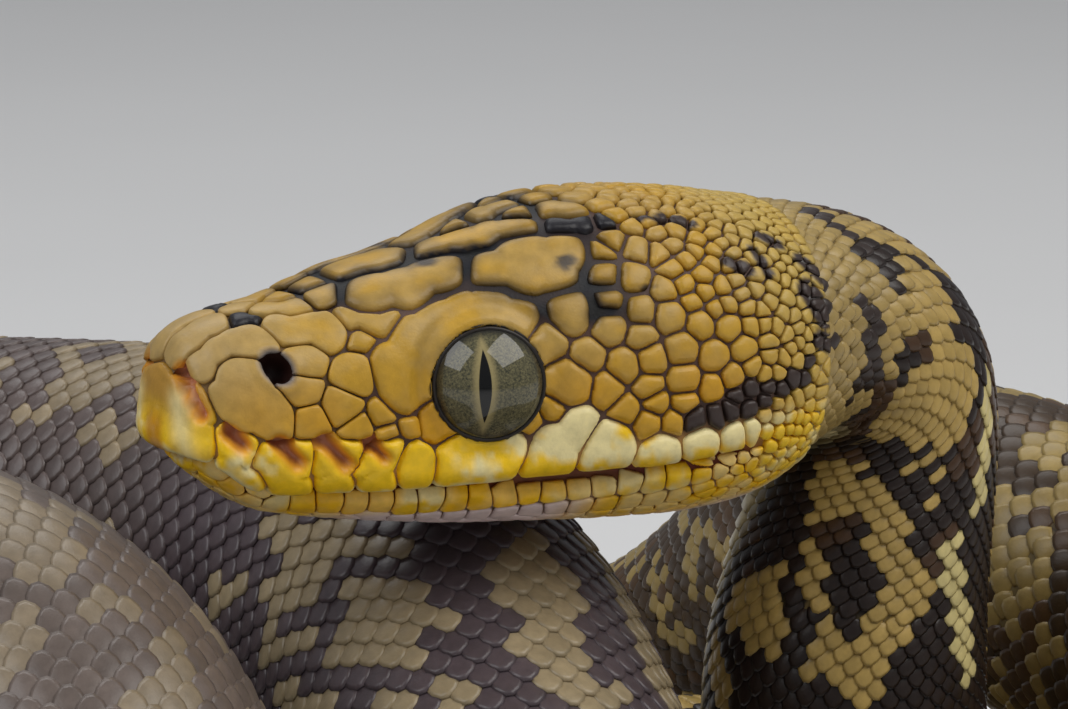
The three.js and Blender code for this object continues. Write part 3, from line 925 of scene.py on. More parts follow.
# ------------------------------------------------------------------ head shields
# Each shield: its name, kind, radius, and the seeds that it grows from, as pixels or, in the
# middle of the head and on the snout's face, as head coordinates. Shields off the middle line
# have a twin on the right.
GOLD = "gold"
ROSTRAL = "rostral"
LIP = "lip"
DARK = "dark"
GRAIN = "grain"           # the small scales
LOWER = "lower"           # shields of the lower lip
CHIN = "chin"
SHIELDS = [
    ("rostral", ROSTRAL, 2.2, [
        (-0.9, 0, -2.2), (-0.9, 0, 0.4), (-0.6, 2.6, -2.4), (-0.6, -2.6, -2.4), (0.2, 4.6, -3.2),
        (0.2, -4.6, -3.2), (-0.5, 3.0, -0.2), (-0.5, -3.0, -0.2), (0, 4.1, -0.6), (0, -4.1, -0.6),
    ]),
    ("internasal", GOLD, 1.7, [(173, 349), (187, 337), (207, 324)]),
    ("supranasal", GOLD, 1.6, [(203, 366), (216, 354), (235, 344), (256, 336)]),
    ("snout_spot", DARK, 1.0, [(242, 318), (262, 319)]),
    ("second_internasal", GOLD, 1.3, [(266, 308), (288, 307)]),
    ("snout_middle", GOLD, 1.0, [(6, 0, 6)]),
    ("prefrontal", GOLD, 1.6, [(276, 324), (299, 328), (327, 333)]),
    ("first_postnasal", GOLD, 1.3, [(309, 358)]),
    ("second_postnasal", GOLD, 1.1, [(306, 391)]),
    ("nasal", GOLD, 1.8, [(226, 395), (249, 413), (274, 424), (235, 372)]),
    ("loreal_1", GOLD, 1.7, [(354, 374)]),
    ("loreal_2", GOLD, 1.4, [(340, 404)]),
    ("loreal_3", GOLD, 1.3, [(311, 423)]),
    ("loreal_4", GOLD, 0.9, [(356, 429)]),
    ("loreal_5", GOLD, 0.8, [(385, 414)]),
    ("loreal_6", GOLD, 0.7, [(389, 435)]),
    ("loreal_7", GOLD, 0.55, [(413, 429)]),
    ("small_crown", GOLD, 0.85, [(350, 317), (370, 321), (390, 321)]),
    ("brow", GOLD, 1.9, [
        (391, 365), (407, 390), (418, 338), (441, 321), (468, 309), (493, 304), (517, 314),
    ]),
    ("front_subocular", GOLD, 1.2, [(441, 427)]),
    ("upper_postocular", GOLD, 1.4, [(547, 340)]),
    ("middle_postocular", GOLD, 1.8, [(570, 386)]),
    ("lower_postocular", GOLD, 0.9, [(556, 407)]),
    ("rear_subocular", GOLD, 0.8, [(536, 425)]),
    ("temporal", GOLD, 1.8, [(573, 312)]),
    ("crown_front", GOLD, 1.1, [(320, 294)]),
    ("crown_middle", GOLD, 1.4, [(12, 0, 7.3)]),
    ("frontal", GOLD, 2.2, [(370, 289), (406, 285), (438, 269)]),
    ("median_front", GOLD, 1.7, [(15, 0, 8), (17, 0, 8.6), (19, 0, 9)]),
    ("frontoparietal", GOLD, 1.6, [(430, 243), (460, 235), (486, 230), (516, 226)]),
    ("parietal", GOLD, 2.0, [(493, 269), (525, 273), (556, 269), (525, 247), (568, 249)]),
    ("median_rear", GOLD, 1.2, [(27.5, 0, 11.4), (29.5, 0, 11.8)]),
    ("black_spot_1", DARK, 0.9, [(562, 224), (582, 221)]),
    ("black_spot_2", DARK, 0.7, [(608, 220)]),
    ("nape_1", GOLD, 1.2, [(552, 205), (568, 208)]),
    ("nape_2", GOLD, 1.1, [(32.3, 0, 12.2)]),
    ("nape_3", GOLD, 1.1, [(576, 194)]),
    ("occipital_1", GOLD, 1.2, [(604, 249)]),
    ("occipital_2", GOLD, 1.3, [(606, 269)]),
    ("occipital_3", GOLD, 1.1, [(616, 237)]),
    ("occipital_4", GOLD, 1.1, [(635, 245)]),
    ("occipital_5", GOLD, 1.2, [(635, 273)]),
    ("streak_front", DARK, 0.9, [(695, 424)]),
    ("lip_1", LIP, 1.5, [(217, 445), (228, 464), (245, 481), (250, 452)]),
    ("lip_2", LIP, 1.5, [(268, 456), (279, 471), (292, 488), (307, 460)]),
    ("lip_3", LIP, 1.5, [(320, 460), (334, 482), (353, 458)]),
    ("lip_4", LIP, 1.4, [(363, 462), (375, 478), (391, 455)]),
    ("lip_5", LIP, 1.8, [(420, 463)]),
    ("lip_6", LIP, 1.6, [(455, 464), (484, 461), (513, 456)]),
    ("lip_7", LIP, 1.5, [(538, 463), (556, 445), (578, 425)]),
    ("lip_8", LIP, 1.9, [(611, 447)]),
    ("lip_9", LIP, 1.5, [(660, 451)]),
    ("lip_10", LIP, 1.3, [(704, 442)]),
    ("lip_11", LIP, 1.0, [(734, 438)]),
    ("lip_12", LIP, 0.8, [(754, 432)]),
    ("mental", LIP, 1.5, [(-0.2, 0, -6.6)]),
]
# Rounded scales of the temple: pixel and radius.
TEMPLE = [
    ((588, 358), 1.1), ((611, 392), 1.1), ((613, 329), 1.2), ((625, 366), 1.2), ((640, 312), 1.0),
    ((646, 337), 1.0), ((654, 361), 1.1), ((652, 389), 0.9), ((628, 407), 0.9), ((659, 407), 0.8),
    ((652, 424), 0.9), ((672, 317), 1.2), ((685, 349), 1.2), ((686, 379), 1.1), ((688, 404), 0.9),
    ((704, 324), 1.1), ((717, 357), 1.1), ((714, 387), 0.9), ((732, 326), 1.0), ((746, 350), 0.9),
    ((737, 376), 0.9),
]
FILL_SIZE = ([2, 30, 36, 42, 48, 52], [0.8, 1.0, 0.84, 0.64, 0.52, 0.5])   # radius of a small scale
TO_RIGHT = np.array([1, -1, 1])
LAST_LIP = 40.0           # the upper lip has no small scales before this
LIP_DEPTH = 2.8
INFRALABIALS = 20
INFRALABIAL_PITCH = 1.95
INFRALABIAL_START = 1.2
LOWER_ROWS = [(1.3, LOWER), (3.2, CHIN), (5.2, CHIN)]   # depth below the mouth line, and kind
SHIELD_GAP = 1.02         # a small scale's distance from a shield's seed, over their radii
GRAIN_GAP = 0.93          # the same between two small scales
THROAT_LEVEL = -10


def snapped(seeds):
    """The points of the head's flesh nearest to the given head coordinates."""
    local = skin_grid.head_local
    at = [np.argmin(((local - seed) ** 2).sum(1)) for seed in np.asarray(seeds, float)]
    return local[at], skin_grid.head_flesh[at]


def left_side(along, up):
    """How far to the left the head reaches near a place along and up, or None past it."""
    local = skin_grid.head_local
    near = (np.abs(local[:, 0] - along) < 0.3) & (np.abs(local[:, 2] - up) < 0.35) & (local[:, 1] > 0)
    return float(local[near, 1].max()) if near.any() else None


def fill_kind(at):
    """Kind of a small scale: a chin scale below the mouth and under the throat."""
    below_mouth = mouth_offset(at) < 0 and at[0] < MOUTH_CORNER
    return CHIN if below_mouth or at[2] < THROAT_LEVEL else GRAIN


class Plates:
    """All shields of the head: seeds with their plate number, radius and colour kind."""

    def __init__(self):
        self.seed, self.plate, self.size, self.kind = [], [], [], []
        self.count = 0
        temple = [("temple", GRAIN, size, [mark]) for mark, size in TEMPLE]
        for _, kind, size, marks in SHIELDS + temple:
            seeds = [head_sight.place_at(mark) for mark in marks]
            self.add(kind, size, seeds)
            if min(abs(seed[1]) for seed in seeds) > 0:
                self.add(kind, size, [seed * TO_RIGHT for seed in seeds])
        self.add_lower_lips()
        self.seed = np.array(self.seed, float)
        self.size = np.array(self.size)
        self.fill()
        self.local, self.point = snapped(self.seed)
        self.plate = np.array(self.plate)
        self.over = mouth_offset(self.local) * (self.local[:, 0] < MOUTH_CORNER)

    def add(self, kind, size, seeds):
        for seed in seeds:
            self.seed.append(seed)
            self.plate.append(self.count)
            self.size.append(size)
            self.kind.append(kind)
        self.count += 1

    def add_lower_lips(self):
        """A row of shields along the lower lip, and two rows of chin shields below it."""
        for row, (drop, kind) in enumerate(LOWER_ROWS):
            for k in range(INFRALABIALS):
                along = INFRALABIAL_START + (k + 0.5 * (row % 2)) * INFRALABIAL_PITCH
                up = float(curve(MOUTH, along)) - drop
                across = left_side(along, up)
                if along > MOUTH_CORNER or across is None:
                    continue
                for side in (1, -1):
                    self.add(kind, 1.0, [(along, side * across, up)])

    def fill(self):
        """Small scales wherever no shield lies yet, smaller towards the nape."""
        local = skin_grid.head_local
        over = mouth_offset(local)
        usable = (local[:, 0] > 2) & (local[:, 0] < HEAD_PART_END)
        usable &= (hollows(local) > 0.5) & (in_pits(on_left(local)) > 0.7)
        usable &= (local[:, 0] > LAST_LIP) | (over < 0) | (over > LIP_DEPTH)
        local = local[usable]
        new, new_size = [], []
        for at in local[np.random.RandomState(FILL_SEED).permutation(len(local))]:
            own = float(np.interp(at[0], *FILL_SIZE))
            room = (self.size * SHIELD_GAP + own * SHIELD_GAP) ** 2
            if (((self.seed - at) ** 2).sum(1) < room).any():
                continue
            if new:
                gaps = ((np.array(new) - at) ** 2).sum(1)
                if (gaps < ((np.array(new_size) + own) * GRAIN_GAP) ** 2).any():
                    continue
            new.append(at)
            new_size.append(own)
        for at in new:
            self.plate.append(self.count)
            self.kind.append(fill_kind(at))
            self.count += 1
        self.seed = np.vstack([self.seed, new])
        self.size = np.concatenate([self.size, new_size])


def split(values, triangles, column, level):
    """Cuts the triangles along the line where one column of the vertex values equals level."""
    height = values[:, column] - level
    above = height > 0
    number = above[triangles].sum(1)
    mixed = (number > 0) & (number < 3)
    kept = triangles[~mixed]
    cut = triangles[mixed]
    if not len(cut):
        return values, triangles
    lone = above[cut] == (number[mixed] == 1)[:, None]
    first = lone.argmax(1)
    a, b, c = (cut[np.arange(len(cut)), (first + k) % 3] for k in range(3))
    pairs = np.vstack([np.column_stack([a, b]), np.column_stack([a, c])])
    keys = np.sort(pairs, 1)
    unique, back = np.unique(keys, axis=0, return_inverse=True)
    back = back.ravel()
    low, high = unique.T
    t = height[low] / (height[low] - height[high])
    fresh = values[low] * (1 - t[:, None]) + values[high] * t[:, None]
    fresh[:, column] = level
    new = len(values) + back
    ab, ac = new[:len(cut)], new[len(cut):]
    made = np.vstack([
        np.column_stack([a, ab, ac]), np.column_stack([ab, b, c]), np.column_stack([ab, c, ac]),
    ])
    return np.vstack([values, fresh]), np.vstack([kept, made])


def border_edges(triangles):
    """Directed edges that belong to one triangle only."""
    edges = np.vstack([triangles[:, (0, 1)], triangles[:, (1, 2)], triangles[:, (2, 0)]])
    key = np.sort(edges, 1)
    _, back, count = np.unique(key, axis=0, return_inverse=True, return_counts=True)
    return edges[count[back.ravel()] == 1]


HEAD_GOLD = colour(188, 146, 46)
HEAD_TAN = colour(178, 144, 72)
HEAD_OCHRE = colour(206, 150, 10)
SNOUT_TAN = colour(168, 142, 92)
LIP_YELLOW = colour(246, 200, 22)
LIP_CREAM = colour(238, 222, 162)
LOWER_ORANGE = colour(250, 190, 20)
ROSTRAL_TAN = colour(178, 134, 52)
# painted shade: deeper orange for the hollow low in the middle of the rostral
ROSTRAL_PAINTED_SHADE = colour(190, 124, 8)
CHIN_PINK = colour(230, 210, 208)
NAPE_CREAM = colour(188, 162, 84)
SHIELD_BLACK = colour(24, 22, 28)
STREAK = colour(58, 46, 42)
# The dark streak behind the eye: heights along its middle, and how far it reaches.
STREAK_LINE = ([37, 42, 49], [-4.2, -3.0, -1.6])
STREAK_SPAN = (37.5, 49.8)
STREAK_HALF_WIDTH = 1.0
CROWN_SPOTS = [((424, 263), 1.0), ((566, 263), 0.9), ((647, 288), 0.5)]   # pixel and radius
crown_spot_places = [(head_sight.place_at(mark), size) for mark, size in CROWN_SPOTS]


def head_gold(local):
    """Ochre of the head: tan on the snout, yellower low on the sides, blotched all over."""
    over = mouth_offset(local)
    cloud = noise(local, *GOLD_CLOUD)
    speck = noise(local, *GOLD_SPECK)
    tint = mix(HEAD_GOLD, HEAD_TAN, smooth(0.7 * cloud + 0.3 * speck, 0.3, 0.65))
    tint = mix(tint, SNOUT_TAN, (1 - smooth(local[..., 0], 2, 10)) * smooth(over, 4, 8) * 0.8)
    low = (1 - smooth(over, 4.0, 12.0)) * smooth(local[..., 0], 0, 6)
    return mix(tint, HEAD_OCHRE, low * (0.35 + 0.6 * smooth(cloud, 0.3, 0.7)))


def lip_colour(local):
    """Yellow and cream: cream at the lower edge before the eye, and at the upper edge behind it."""
    over = mouth_offset(local)
    behind_eye = smooth(local[..., 0], 23, 27)
    lower_edge, upper_edge = 1 - smooth(over, 0.3, 1.3), smooth(over, 0.8, 2.4)
    pale = (1 - behind_eye) * lower_edge + behind_eye * upper_edge
    pale = np.where(over < 0, 0.4, pale)
    cloud, speck = noise(local, *LIP_CLOUD), noise(local, *LIP_SPECK)
    return mix(LIP_YELLOW, LIP_CREAM, smooth(0.5 * cloud + 0.25 * speck + 0.3 * pale, 0.40, 0.60))


def rostral_colour(local):
    """Tan between the pits, with a cream ridge beside each pit, yellow below, and painted shade: a deeper
    orange low in its middle, in the hollow there.
    """
    ridge = bell(on_left(local)[..., 1] - 3.0 + 0.25 * local[..., 2], 1.0)
    tint = mix(ROSTRAL_TAN, lip_colour(local), smooth(-local[..., 2], -0.5, 3.0))
    # painted shade in the hollow low in the middle of the rostral
    middle = (1 - smooth(np.abs(local[..., 1]), 0.6, 2.0)) * smooth(-local[..., 2], 0.5, 2.5)
    tint = mix(tint, ROSTRAL_PAINTED_SHADE, 0.8 * middle)
    return mix(tint, LIP_CREAM, 0.75 * ridge * smooth(-local[..., 2], -1.5, 0.5))


def grain_colour(local, seed_local):
    low = 1 - smooth(mouth_offset(local), 1.5, 3.5)
    tint = mix(head_gold(local), lip_colour(local), low)
    return mix(tint, NAPE_CREAM, smooth(seed_local[0], 40, 50) * 0.7 * np.ones(len(local)) * (1 - 0.6 * low))


def plate_colour(kind, local, depth, seed_local):
    """Colour of a shield at each of its points; depth is the distance in from its edge."""
    side = on_left(local)
    over = mouth_offset(local)
    if kind == LIP:
        tint = lip_colour(local)
    elif kind == ROSTRAL:
        tint = rostral_colour(local)
    elif kind == LOWER:
        yellow = 0.25 + 0.6 * smooth(noise(local, *LOWER_LIP_CLOUD), 0.4, 0.65)
        tint = mix(LOWER_ORANGE, lip_colour(local), yellow)
    elif kind == DARK:
        tint = np.broadcast_to(STREAK if seed_local[0] > 36 else SHIELD_BLACK, local.shape)
    elif kind == CHIN:
        middle = between_rises(local[..., 0], (9, 15), (28, 34))
        pink = np.maximum(smooth(-over, 1.2, 2.2) * middle, smooth(-over, 4.0, 6.5))
        tint = mix(mix(LOWER_ORANGE, lip_colour(local), 0.6), CHIN_PINK, pink)
    else:
        tint = grain_colour(local, seed_local)
    for middle, size in crown_spot_places:
        gap = np.linalg.norm((side - middle) * [0.7, 1, 1], axis=-1) + 0.7 * (noise(local, *SPOT_EDGE) - 0.5)
        tint = mix(tint, SHIELD_BLACK, 0.9 * (1 - smooth(gap, 0.4 * size, size)))
    from_nostril = round_the_nostril(side) - NOSTRIL_RADIUS
    tint = mix(tint, NOSTRIL_RIM, 0.85 * (1 - smooth(from_nostril, 0.1, 0.6)))
    pit = in_pits(side)
    tint = mix(tint, PIT_WALL, 0.9 * (1 - smooth(pit, -0.15, 0.4)))
    tint = mix(tint, PIT_FLESH, 1 - smooth(pit, -0.5, -0.05))
    tint = mix(tint, STREAK, 1 - smooth(from_nape_bars(side), -0.1, 0.15))
    bleed = 0.2 + 0.7 * noise(local, *BLEED)
    edge = darkness_of_seams(local) * np.exp(-np.maximum(depth, 0) / bleed)
    return mix(tint, SHIELD_BLACK, np.clip(edge, 0, 1))


def is_streak(at):
    """Whether a small scale lies on the dark streak behind the eye."""
    off_middle = abs(at[2] - np.interp(at[0], *STREAK_LINE))
    return between(at[0], STREAK_SPAN) and off_middle < STREAK_HALF_WIDTH


def head_surface():
    """Points, normals, places and triangles of the head's part of the flesh."""
    count = int((skin_grid.s <= HEAD_PART_END).sum())
    index, right, quads = ring_grid(count, COLUMNS)
    tip = fan(right[0], index[0], index.size)
    fields = (skin_grid.flesh, skin_grid.normal, skin_grid.local)
    rows = [np.vstack([field[:count].reshape(-1, 3), field[0].mean(0)]) for field in fields]
    return (*rows, np.vstack([halved(quads), tip]))


def power_distances(plates, points):
    """Squared distance from each point to each seed, less the seed's squared radius."""
    square = (points ** 2).sum(1)[:, None] + (plates.point ** 2).sum(1) - 2 * points @ plates.point.T
    return square - plates.size ** 2


LIP_GAP = 0.06            # how far the lip shields end from the mouth line
UPPER_GAPE = 0.1          # how much further in the middle of the mouth
LOWER_GAPE = 0.75


def depth_in_plate(plates, mine, points, over, power):
    """Distance from the border of a plate, whose seeds are mine, to each point inside it."""
    own = np.flatnonzero(mine)
    side = np.sign(plates.over[own[0]])
    rival = np.flatnonzero(~mine & (plates.over * side >= 0))
    nearest_own = own[power[:, own].argmin(1)]
    base = power[np.arange(len(points)), nearest_own]
    span = np.linalg.norm(plates.point[nearest_own][:, None] - plates.point[rival][None], axis=-1)
    gap = (power[:, rival] - base[:, None]) / (2 * np.maximum(span, 0.2))
    size = plates.size[own[0]]
    sharp = 9.0 / size
    nearest = gap.min(1)
    depth = nearest - np.log(np.exp(-sharp * (gap - nearest[:, None])).sum(1)) / sharp
    if side != 0:
        gape = float(between_rises(plates.local[own, 0].mean(), *SHIELD_GAPE))
        room = UPPER_GAPE if side > 0 else LOWER_GAPE
        depth = np.minimum(depth, side * over - LIP_GAP - room * gape)
    return depth


# How each kind of shield is rounded: width of its rim over its radius, how high its middle
# swells, and how deep its edge lies below its top.
ROUNDING = {
    GOLD: (0.6, 0.16, 0.5), DARK: (0.6, 0.16, 0.5), ROSTRAL: (0.6, 0.15, 0.5), LIP: (0.4, 0.24, 0.5),
    GRAIN: (0.55, 0.22, 0.5), LOWER: (0.22, 0.06, 0.2), CHIN: (0.25, 0.08, 0.22),
}
WIDEST_RIM = 0.7
SNOUT_END = 12.0          # the golden shields before this have a narrower rim and flatter edge
SNOUT_RIM = 0.2
SNOUT_GROOVE = 0.34
NAPE_FLATTER = 0.6        # how much flatter the last scales of the nape are
RIM_CUTS = (0.0, 0.3, 0.75)   # depths at which a shield's triangles are cut, over its rim
DEPTH = 9                 # column of a shield's values that holds the depth in from its edge
SPECK_DEPTH = 0.5         # how far below the skin a small scale comes to its point
UNDERSIDE = 0.25          # how far a shield's underside lies below the skin


def rounding(kind, size, root):
    """Width of a shield's rim, how high it swells, depth of its edge, and how flat it is."""
    rim, swell, groove = ROUNDING[kind]
    flatter = 1 - NAPE_FLATTER * float(smooth(root[0], 38, 50))
    if kind == GOLD and root[0] < SNOUT_END:
        return min(rim * size * flatter, SNOUT_RIM), swell, SNOUT_GROOVE, flatter
    return min(rim * size * flatter, WIDEST_RIM), swell, groove, flatter


def trimmed(values, triangles, rim):
    """The part of a patch inside its border, cut along lines at the depths of its rim."""
    for share in RIM_CUTS:
        values, triangles = split(values, triangles, DEPTH, share * rim)
    inside = values[triangles][:, :, DEPTH].max(1) > 1e-6
    used, small = np.unique(triangles[inside], return_inverse=True)
    return values[used], small.reshape(-1, 3)


def walled(points, under, triangles):
    """A closed solid between a patch and its copy below."""
    a, b = border_edges(triangles).T
    count = len(points)
    walls = np.vstack([np.column_stack([b, a, a + count]), np.column_stack([b, a + count, b + count])])
    return np.vstack([points, under]), np.vstack([triangles, triangles[:, ::-1] + count, walls])


def pointed(points, tip, triangles):
    """A closed solid of a patch that narrows to one point below it."""
    a, b = border_edges(triangles).T
    return np.vstack([points, tip]), np.vstack([triangles, fan(b, a, len(points))])


def make_plate(plates, number, surface, power, near):
    """One shield as a closed solid: points, triangles, colours and root."""
    flesh, normal, local, triangles = surface
    mine = plates.plate == number
    first = mine.argmax()
    kind, size, root = plates.kind[first], plates.size[first], plates.local[first]
    used, small = np.unique(triangles[near], return_inverse=True)
    depth = depth_in_plate(plates, mine, flesh[used], mouth_offset(local[used]), power[used])
    seam = 0.02 + 0.02 * smooth(local[used, 0], 8, 14) + 0.2 * darkness_of_seams(local[used])
    depth = np.minimum(depth - seam, hollows(local[used]))
    values = np.column_stack([flesh[used], normal[used], local[used], depth])
    rim, crowning, groove, flatter = rounding(kind, size, root)
    values, small = trimmed(values, small.reshape(-1, 3), rim)
    if not len(small):
        return None
    at, out, depth = values[:, :3], unit(values[:, 3:6]), np.maximum(values[:, DEPTH], 0)
    dome = np.sqrt(1 - (1 - np.clip(depth / rim, 0, 1)) ** 2)
    swollen = crowning * (1 - np.exp(-1.6 * depth / size)) * flatter
    points = at + out * (swollen - groove * (1 - dome))[:, None]
    tint = plate_colour(kind, values[:, 6:9], depth, root)
    if kind == GRAIN and is_streak(root):
        tint = np.broadcast_to(STREAK, tint.shape)
    if mine.sum() > 1 or kind == LIP:
        points, faces = walled(points, at - out * (COAT + UNDERSIDE), small)
        return points, faces, np.vstack([tint, tint]), root
    points, faces = pointed(points, at.mean(0) - out.mean(0) * (COAT + SPECK_DEPTH), small)
    return points, faces, np.vstack([tint, tint.mean(0)]), root


HEAD_PIECES = ("head_shields", "temple_scales", "lip_shields", "chin_scales")
PIECE_OF = {
    GOLD: "head_shields", DARK: "head_shields", GRAIN: "temple_scales", LIP: "lip_shields",
    ROSTRAL: "lip_shields", LOWER: "chin_scales", CHIN: "chin_scales",
}


def make_head_plates():
    """The shields and small scales of the head, joined in a few pieces."""
    plates = Plates()
    surface = head_surface()
    flesh, _, local, triangles = surface
    power = power_distances(plates, flesh)
    over = mouth_offset(local) * (local[:, 0] < MOUTH_CORNER)
    blocked = (over[:, None] * plates.over[None]) < 0
    owner = plates.plate[np.where(blocked, power + 1e4, power).argmin(1)]
    corner_owner = owner[triangles]
    groups = {name: [] for name in HEAD_PIECES}
    for number in range(plates.count):
        neighbours = np.flatnonzero((corner_owner == number).any(1))
        if not len(neighbours):
            continue
        ring = np.isin(triangles, np.unique(triangles[neighbours])).any(1)
        made = make_plate(plates, number, surface, power, ring)
        if made is not None:
            groups[PIECE_OF[plates.kind[(plates.plate == number).argmax()]]].append(made)
    material = scale_material("head_horn")
    pieces = []
    for name, solids in groups.items():
        piece = joined(name, solids)
        piece.data.materials.append(material)
        pieces.append(piece)
    return pieces


def joined(name, solids):
    """One mesh from many solids, each a small patch of the bake map at its root's place."""
    offset = 0
    points, faces, tints, maps = [], [], [], []
    for solid_points, solid_faces, tint, root in solids:
        points.append(solid_points)
        faces.append(solid_faces + offset)
        tints.append(tint)
        offset += len(solid_points)
        angle = math.atan2(root[1], root[2])
        centre = unwrap(root[0], angle, -2, HEAD_PART_END + 2)
        flat = solid_points - solid_points.mean(0)
        _, _, axes = np.linalg.svd(flat[:: max(len(flat) // 40, 1)], full_matrices=False)
        plan = flat @ axes[:2].T
        maps.append(centre + MAP_PATCH * plan / np.abs(plan).max())
    return new_mesh(name, np.vstack(points), np.vstack(faces), np.vstack(tints), np.vstack(maps))


# ------------------------------------------------------------------ body scales
SCALE_LENGTH = [[48, 1.2], [60, 1.4], [75, 1.6], [100, 1.75], [170, 2.05], [300, 2.25], [500, 2.4],
                [700, 2.4], [936, 2.1], [1000, 1.95], [1060, 1.5], [1100, 0.9]]
BELLY_EDGE = math.radians(146)   # the belly scutes start at this angle from the back
SCALE_WIDTH_SHARE = 1.4          # spacing of the scales in one ring, over their length
ROOT_HEIGHT = 0.03
TIP_HEIGHT = 0.40
PILLOW = 0.10             # how far a scale's rim lies below its top
UNDER_HEIGHT = -0.15      # height of the hidden underside, below the skin
# Half the outline of a body scale from tip to root, in half lengths and half widths.
OUTLINE = np.array([(1.16, 0.20), (0.66, 0.60), (-0.10, 0.88), (-1.05, 0.30)])
TOP_SHARE = 0.72          # size of a scale's top over its outline
SCUTE_ROWS = np.array([(-1.0, ROOT_HEIGHT), (0.2, 0.22), (1.0, 0.34), (1.3, 0.22)])   # place, height
SCUTE_COLUMNS = 9
SCUTE_BOW = 0.35          # how far the ends of a scute bend forwards
SCUTE_DROOP = 0.12        # how far they are lower than its middle
FULL_RADIUS = 6           # scales are thinner where the body's radius is smaller than this
THINNEST = 0.45
SCALE_VARIETY = 0.22      # how much the lightness differs from scale to scale
SCUTE_VARIETY = 0.12
SCALES_START = HEAD_PART_END - 1.2   # the first ring lies under the edge of the head's shields
LAST_SCALE_ROOM = 0.6
TAIL_OVERHANG = 0.8       # how far the last scales reach past the end of the axis
SCUTE_OVERLAP = math.radians(5)      # how far the scutes reach under the scales of the sides
GIRTH_ANGLE = 0.7         # angle from the back at which the girth of a ring is read
TAIL_SCUTE_END = 1088.0


def scale_rings():
    """Distances of the rings of scales, each half a scale behind the last."""
    at, out = SCALES_START, []
    while at < BODY_LENGTH - LAST_SCALE_ROOM:
        out.append(at)
        at += float(curve(SCALE_LENGTH, at)) / 2
    return np.array(out)


def scale_places():
    """Distance, angle, half length and half width of every scale on the back and sides."""
    rows = []
    for k, at in enumerate(scale_rings()):
        length = float(curve(SCALE_LENGTH, at))
        arc = 2 * BELLY_EDGE * float(np.hypot(*section(at, GIRTH_ANGLE)))
        count = max(2 * int(round(arc / (SCALE_WIDTH_SHARE * length) / 2)), 4)
        pitch = 2 * BELLY_EDGE / count
        turns = np.arange(count) + 0.5 if k % 2 == 0 else np.arange(1, count)
        angles = -BELLY_EDGE + turns * pitch
        rows.append(np.column_stack([
            np.full(len(angles), at), angles, np.full(len(angles), length / 2),
            np.full(len(angles), pitch / 2),
        ]))
    return np.vstack(rows)


def rhomb_template():
    """A rounded rhomb: plan coordinates, heights and triangles of one closed scale."""
    ring = np.vstack([OUTLINE, OUTLINE[::-1] * [1, -1]])
    plan = np.vstack([[0.1, 0], ring * TOP_SHARE, ring, ring])
    sides = len(ring)
    top, rim, under = 1, 1 + sides, 1 + 2 * sides
    ramp = (plan[:, 0] - OUTLINE[-1, 0]) / (OUTLINE[0, 0] - OUTLINE[-1, 0])
    height = ROOT_HEIGHT + (TIP_HEIGHT - ROOT_HEIGHT) * ramp
    height[top:rim] -= 0.01
    height[rim:under] -= PILLOW
    height[under:] = UNDER_HEIGHT
    faces = []
    for k in range(sides):
        n = (k + 1) % sides
        faces.append([0, top + k, top + n])
        faces += [[top + k, rim + k, rim + n], [top + k, rim + n, top + n]]
        faces += [[rim + k, under + k, under + n], [rim + k, under + n, rim + n]]
    faces += [[under, under + k + 1, under + k] for k in range(1, sides - 1)]
    return plan, height, np.array(faces)[:, ::-1]


def scute_template():
    """A wide belly scute: a shallow curved bar, closed below."""
    u, across = np.meshgrid(SCUTE_ROWS[:, 0], np.linspace(-1, 1, SCUTE_COLUMNS), indexing="ij")
    plan = np.stack([u - SCUTE_BOW * np.abs(across) ** 3, across], -1).reshape(-1, 2)
    height = (SCUTE_ROWS[:, 1:] - SCUTE_DROOP * np.abs(across) ** 6).ravel()
    count = len(height)
    index = np.arange(count).reshape(u.shape)
    a, b, d, e = (part.ravel() for part in (index[:-1, :-1], index[:-1, 1:], index[1:, :-1], index[1:, 1:]))
    below = [corner + count for corner in (a, e, d, a, b, e)]
    cells = np.stack([a, d, e, a, e, b, *below], 1).reshape(-1, 3)
    a = np.concatenate([index[0], index[1:, -1], index[-1, -2::-1], index[-2:0:-1, 0]])
    b = np.roll(a, -1)
    walls = np.stack([a, b, b + count, a, b + count, a + count], 1).reshape(-1, 3)
    heights = np.concatenate([height, np.full(count, UNDER_HEIGHT)])
    return np.vstack([plan, plan]), heights, np.vstack([cells, walls])[:, ::-1]


def surface_point(s, angle, height):
    """World point at a height over the skin."""
    across, up = section(s, angle)
    size = np.maximum(np.hypot(across, up), 0.4)
    grow = 1 + (height - COAT) / size
    points = place(s, across * grow, up * grow)
    points[..., 2] = np.maximum(points[..., 2], 0)
    return points


def scales_piece(name, spots, template, tints, start, end):
    """Many scales of one template as one mesh."""
    plan, height, faces = template
    s = spots[:, 0, None] + spots[:, 2, None] * plan[None, :, 0]
    angle = spots[:, 1, None] + spots[:, 3, None] * plan[None, :, 1]
    s = np.minimum(s, BODY_LENGTH + TAIL_OVERHANG)
    thin = np.clip(radius(spots[:, 0]) / FULL_RADIUS, THINNEST, 1)[:, None]
    lift = np.where(height < 0, height, height * thin)
    points = surface_point(s, angle, lift)
    count, each = s.shape
    all_faces = (faces[None] + (np.arange(count) * each)[:, None, None]).reshape(-1, 3)
    tint = np.repeat(tints[:, None], each, 1)
    uv = unwrap(spots[:, 0], spots[:, 1], start, end)[:, None] + MAP_PATCH * plan[None] / SCUTE_ROWS[-1, 0]
    return new_mesh(name, points.reshape(-1, 3), all_faces, tint.reshape(-1, 3), uv.reshape(-1, 2))


def varied(tints, spots, amount, seed):
    """A small change of lightness from scale to scale."""
    pick = np.random.RandomState(seed)
    return tints * (1 + amount * (pick.rand(len(spots), 1) - 0.5))


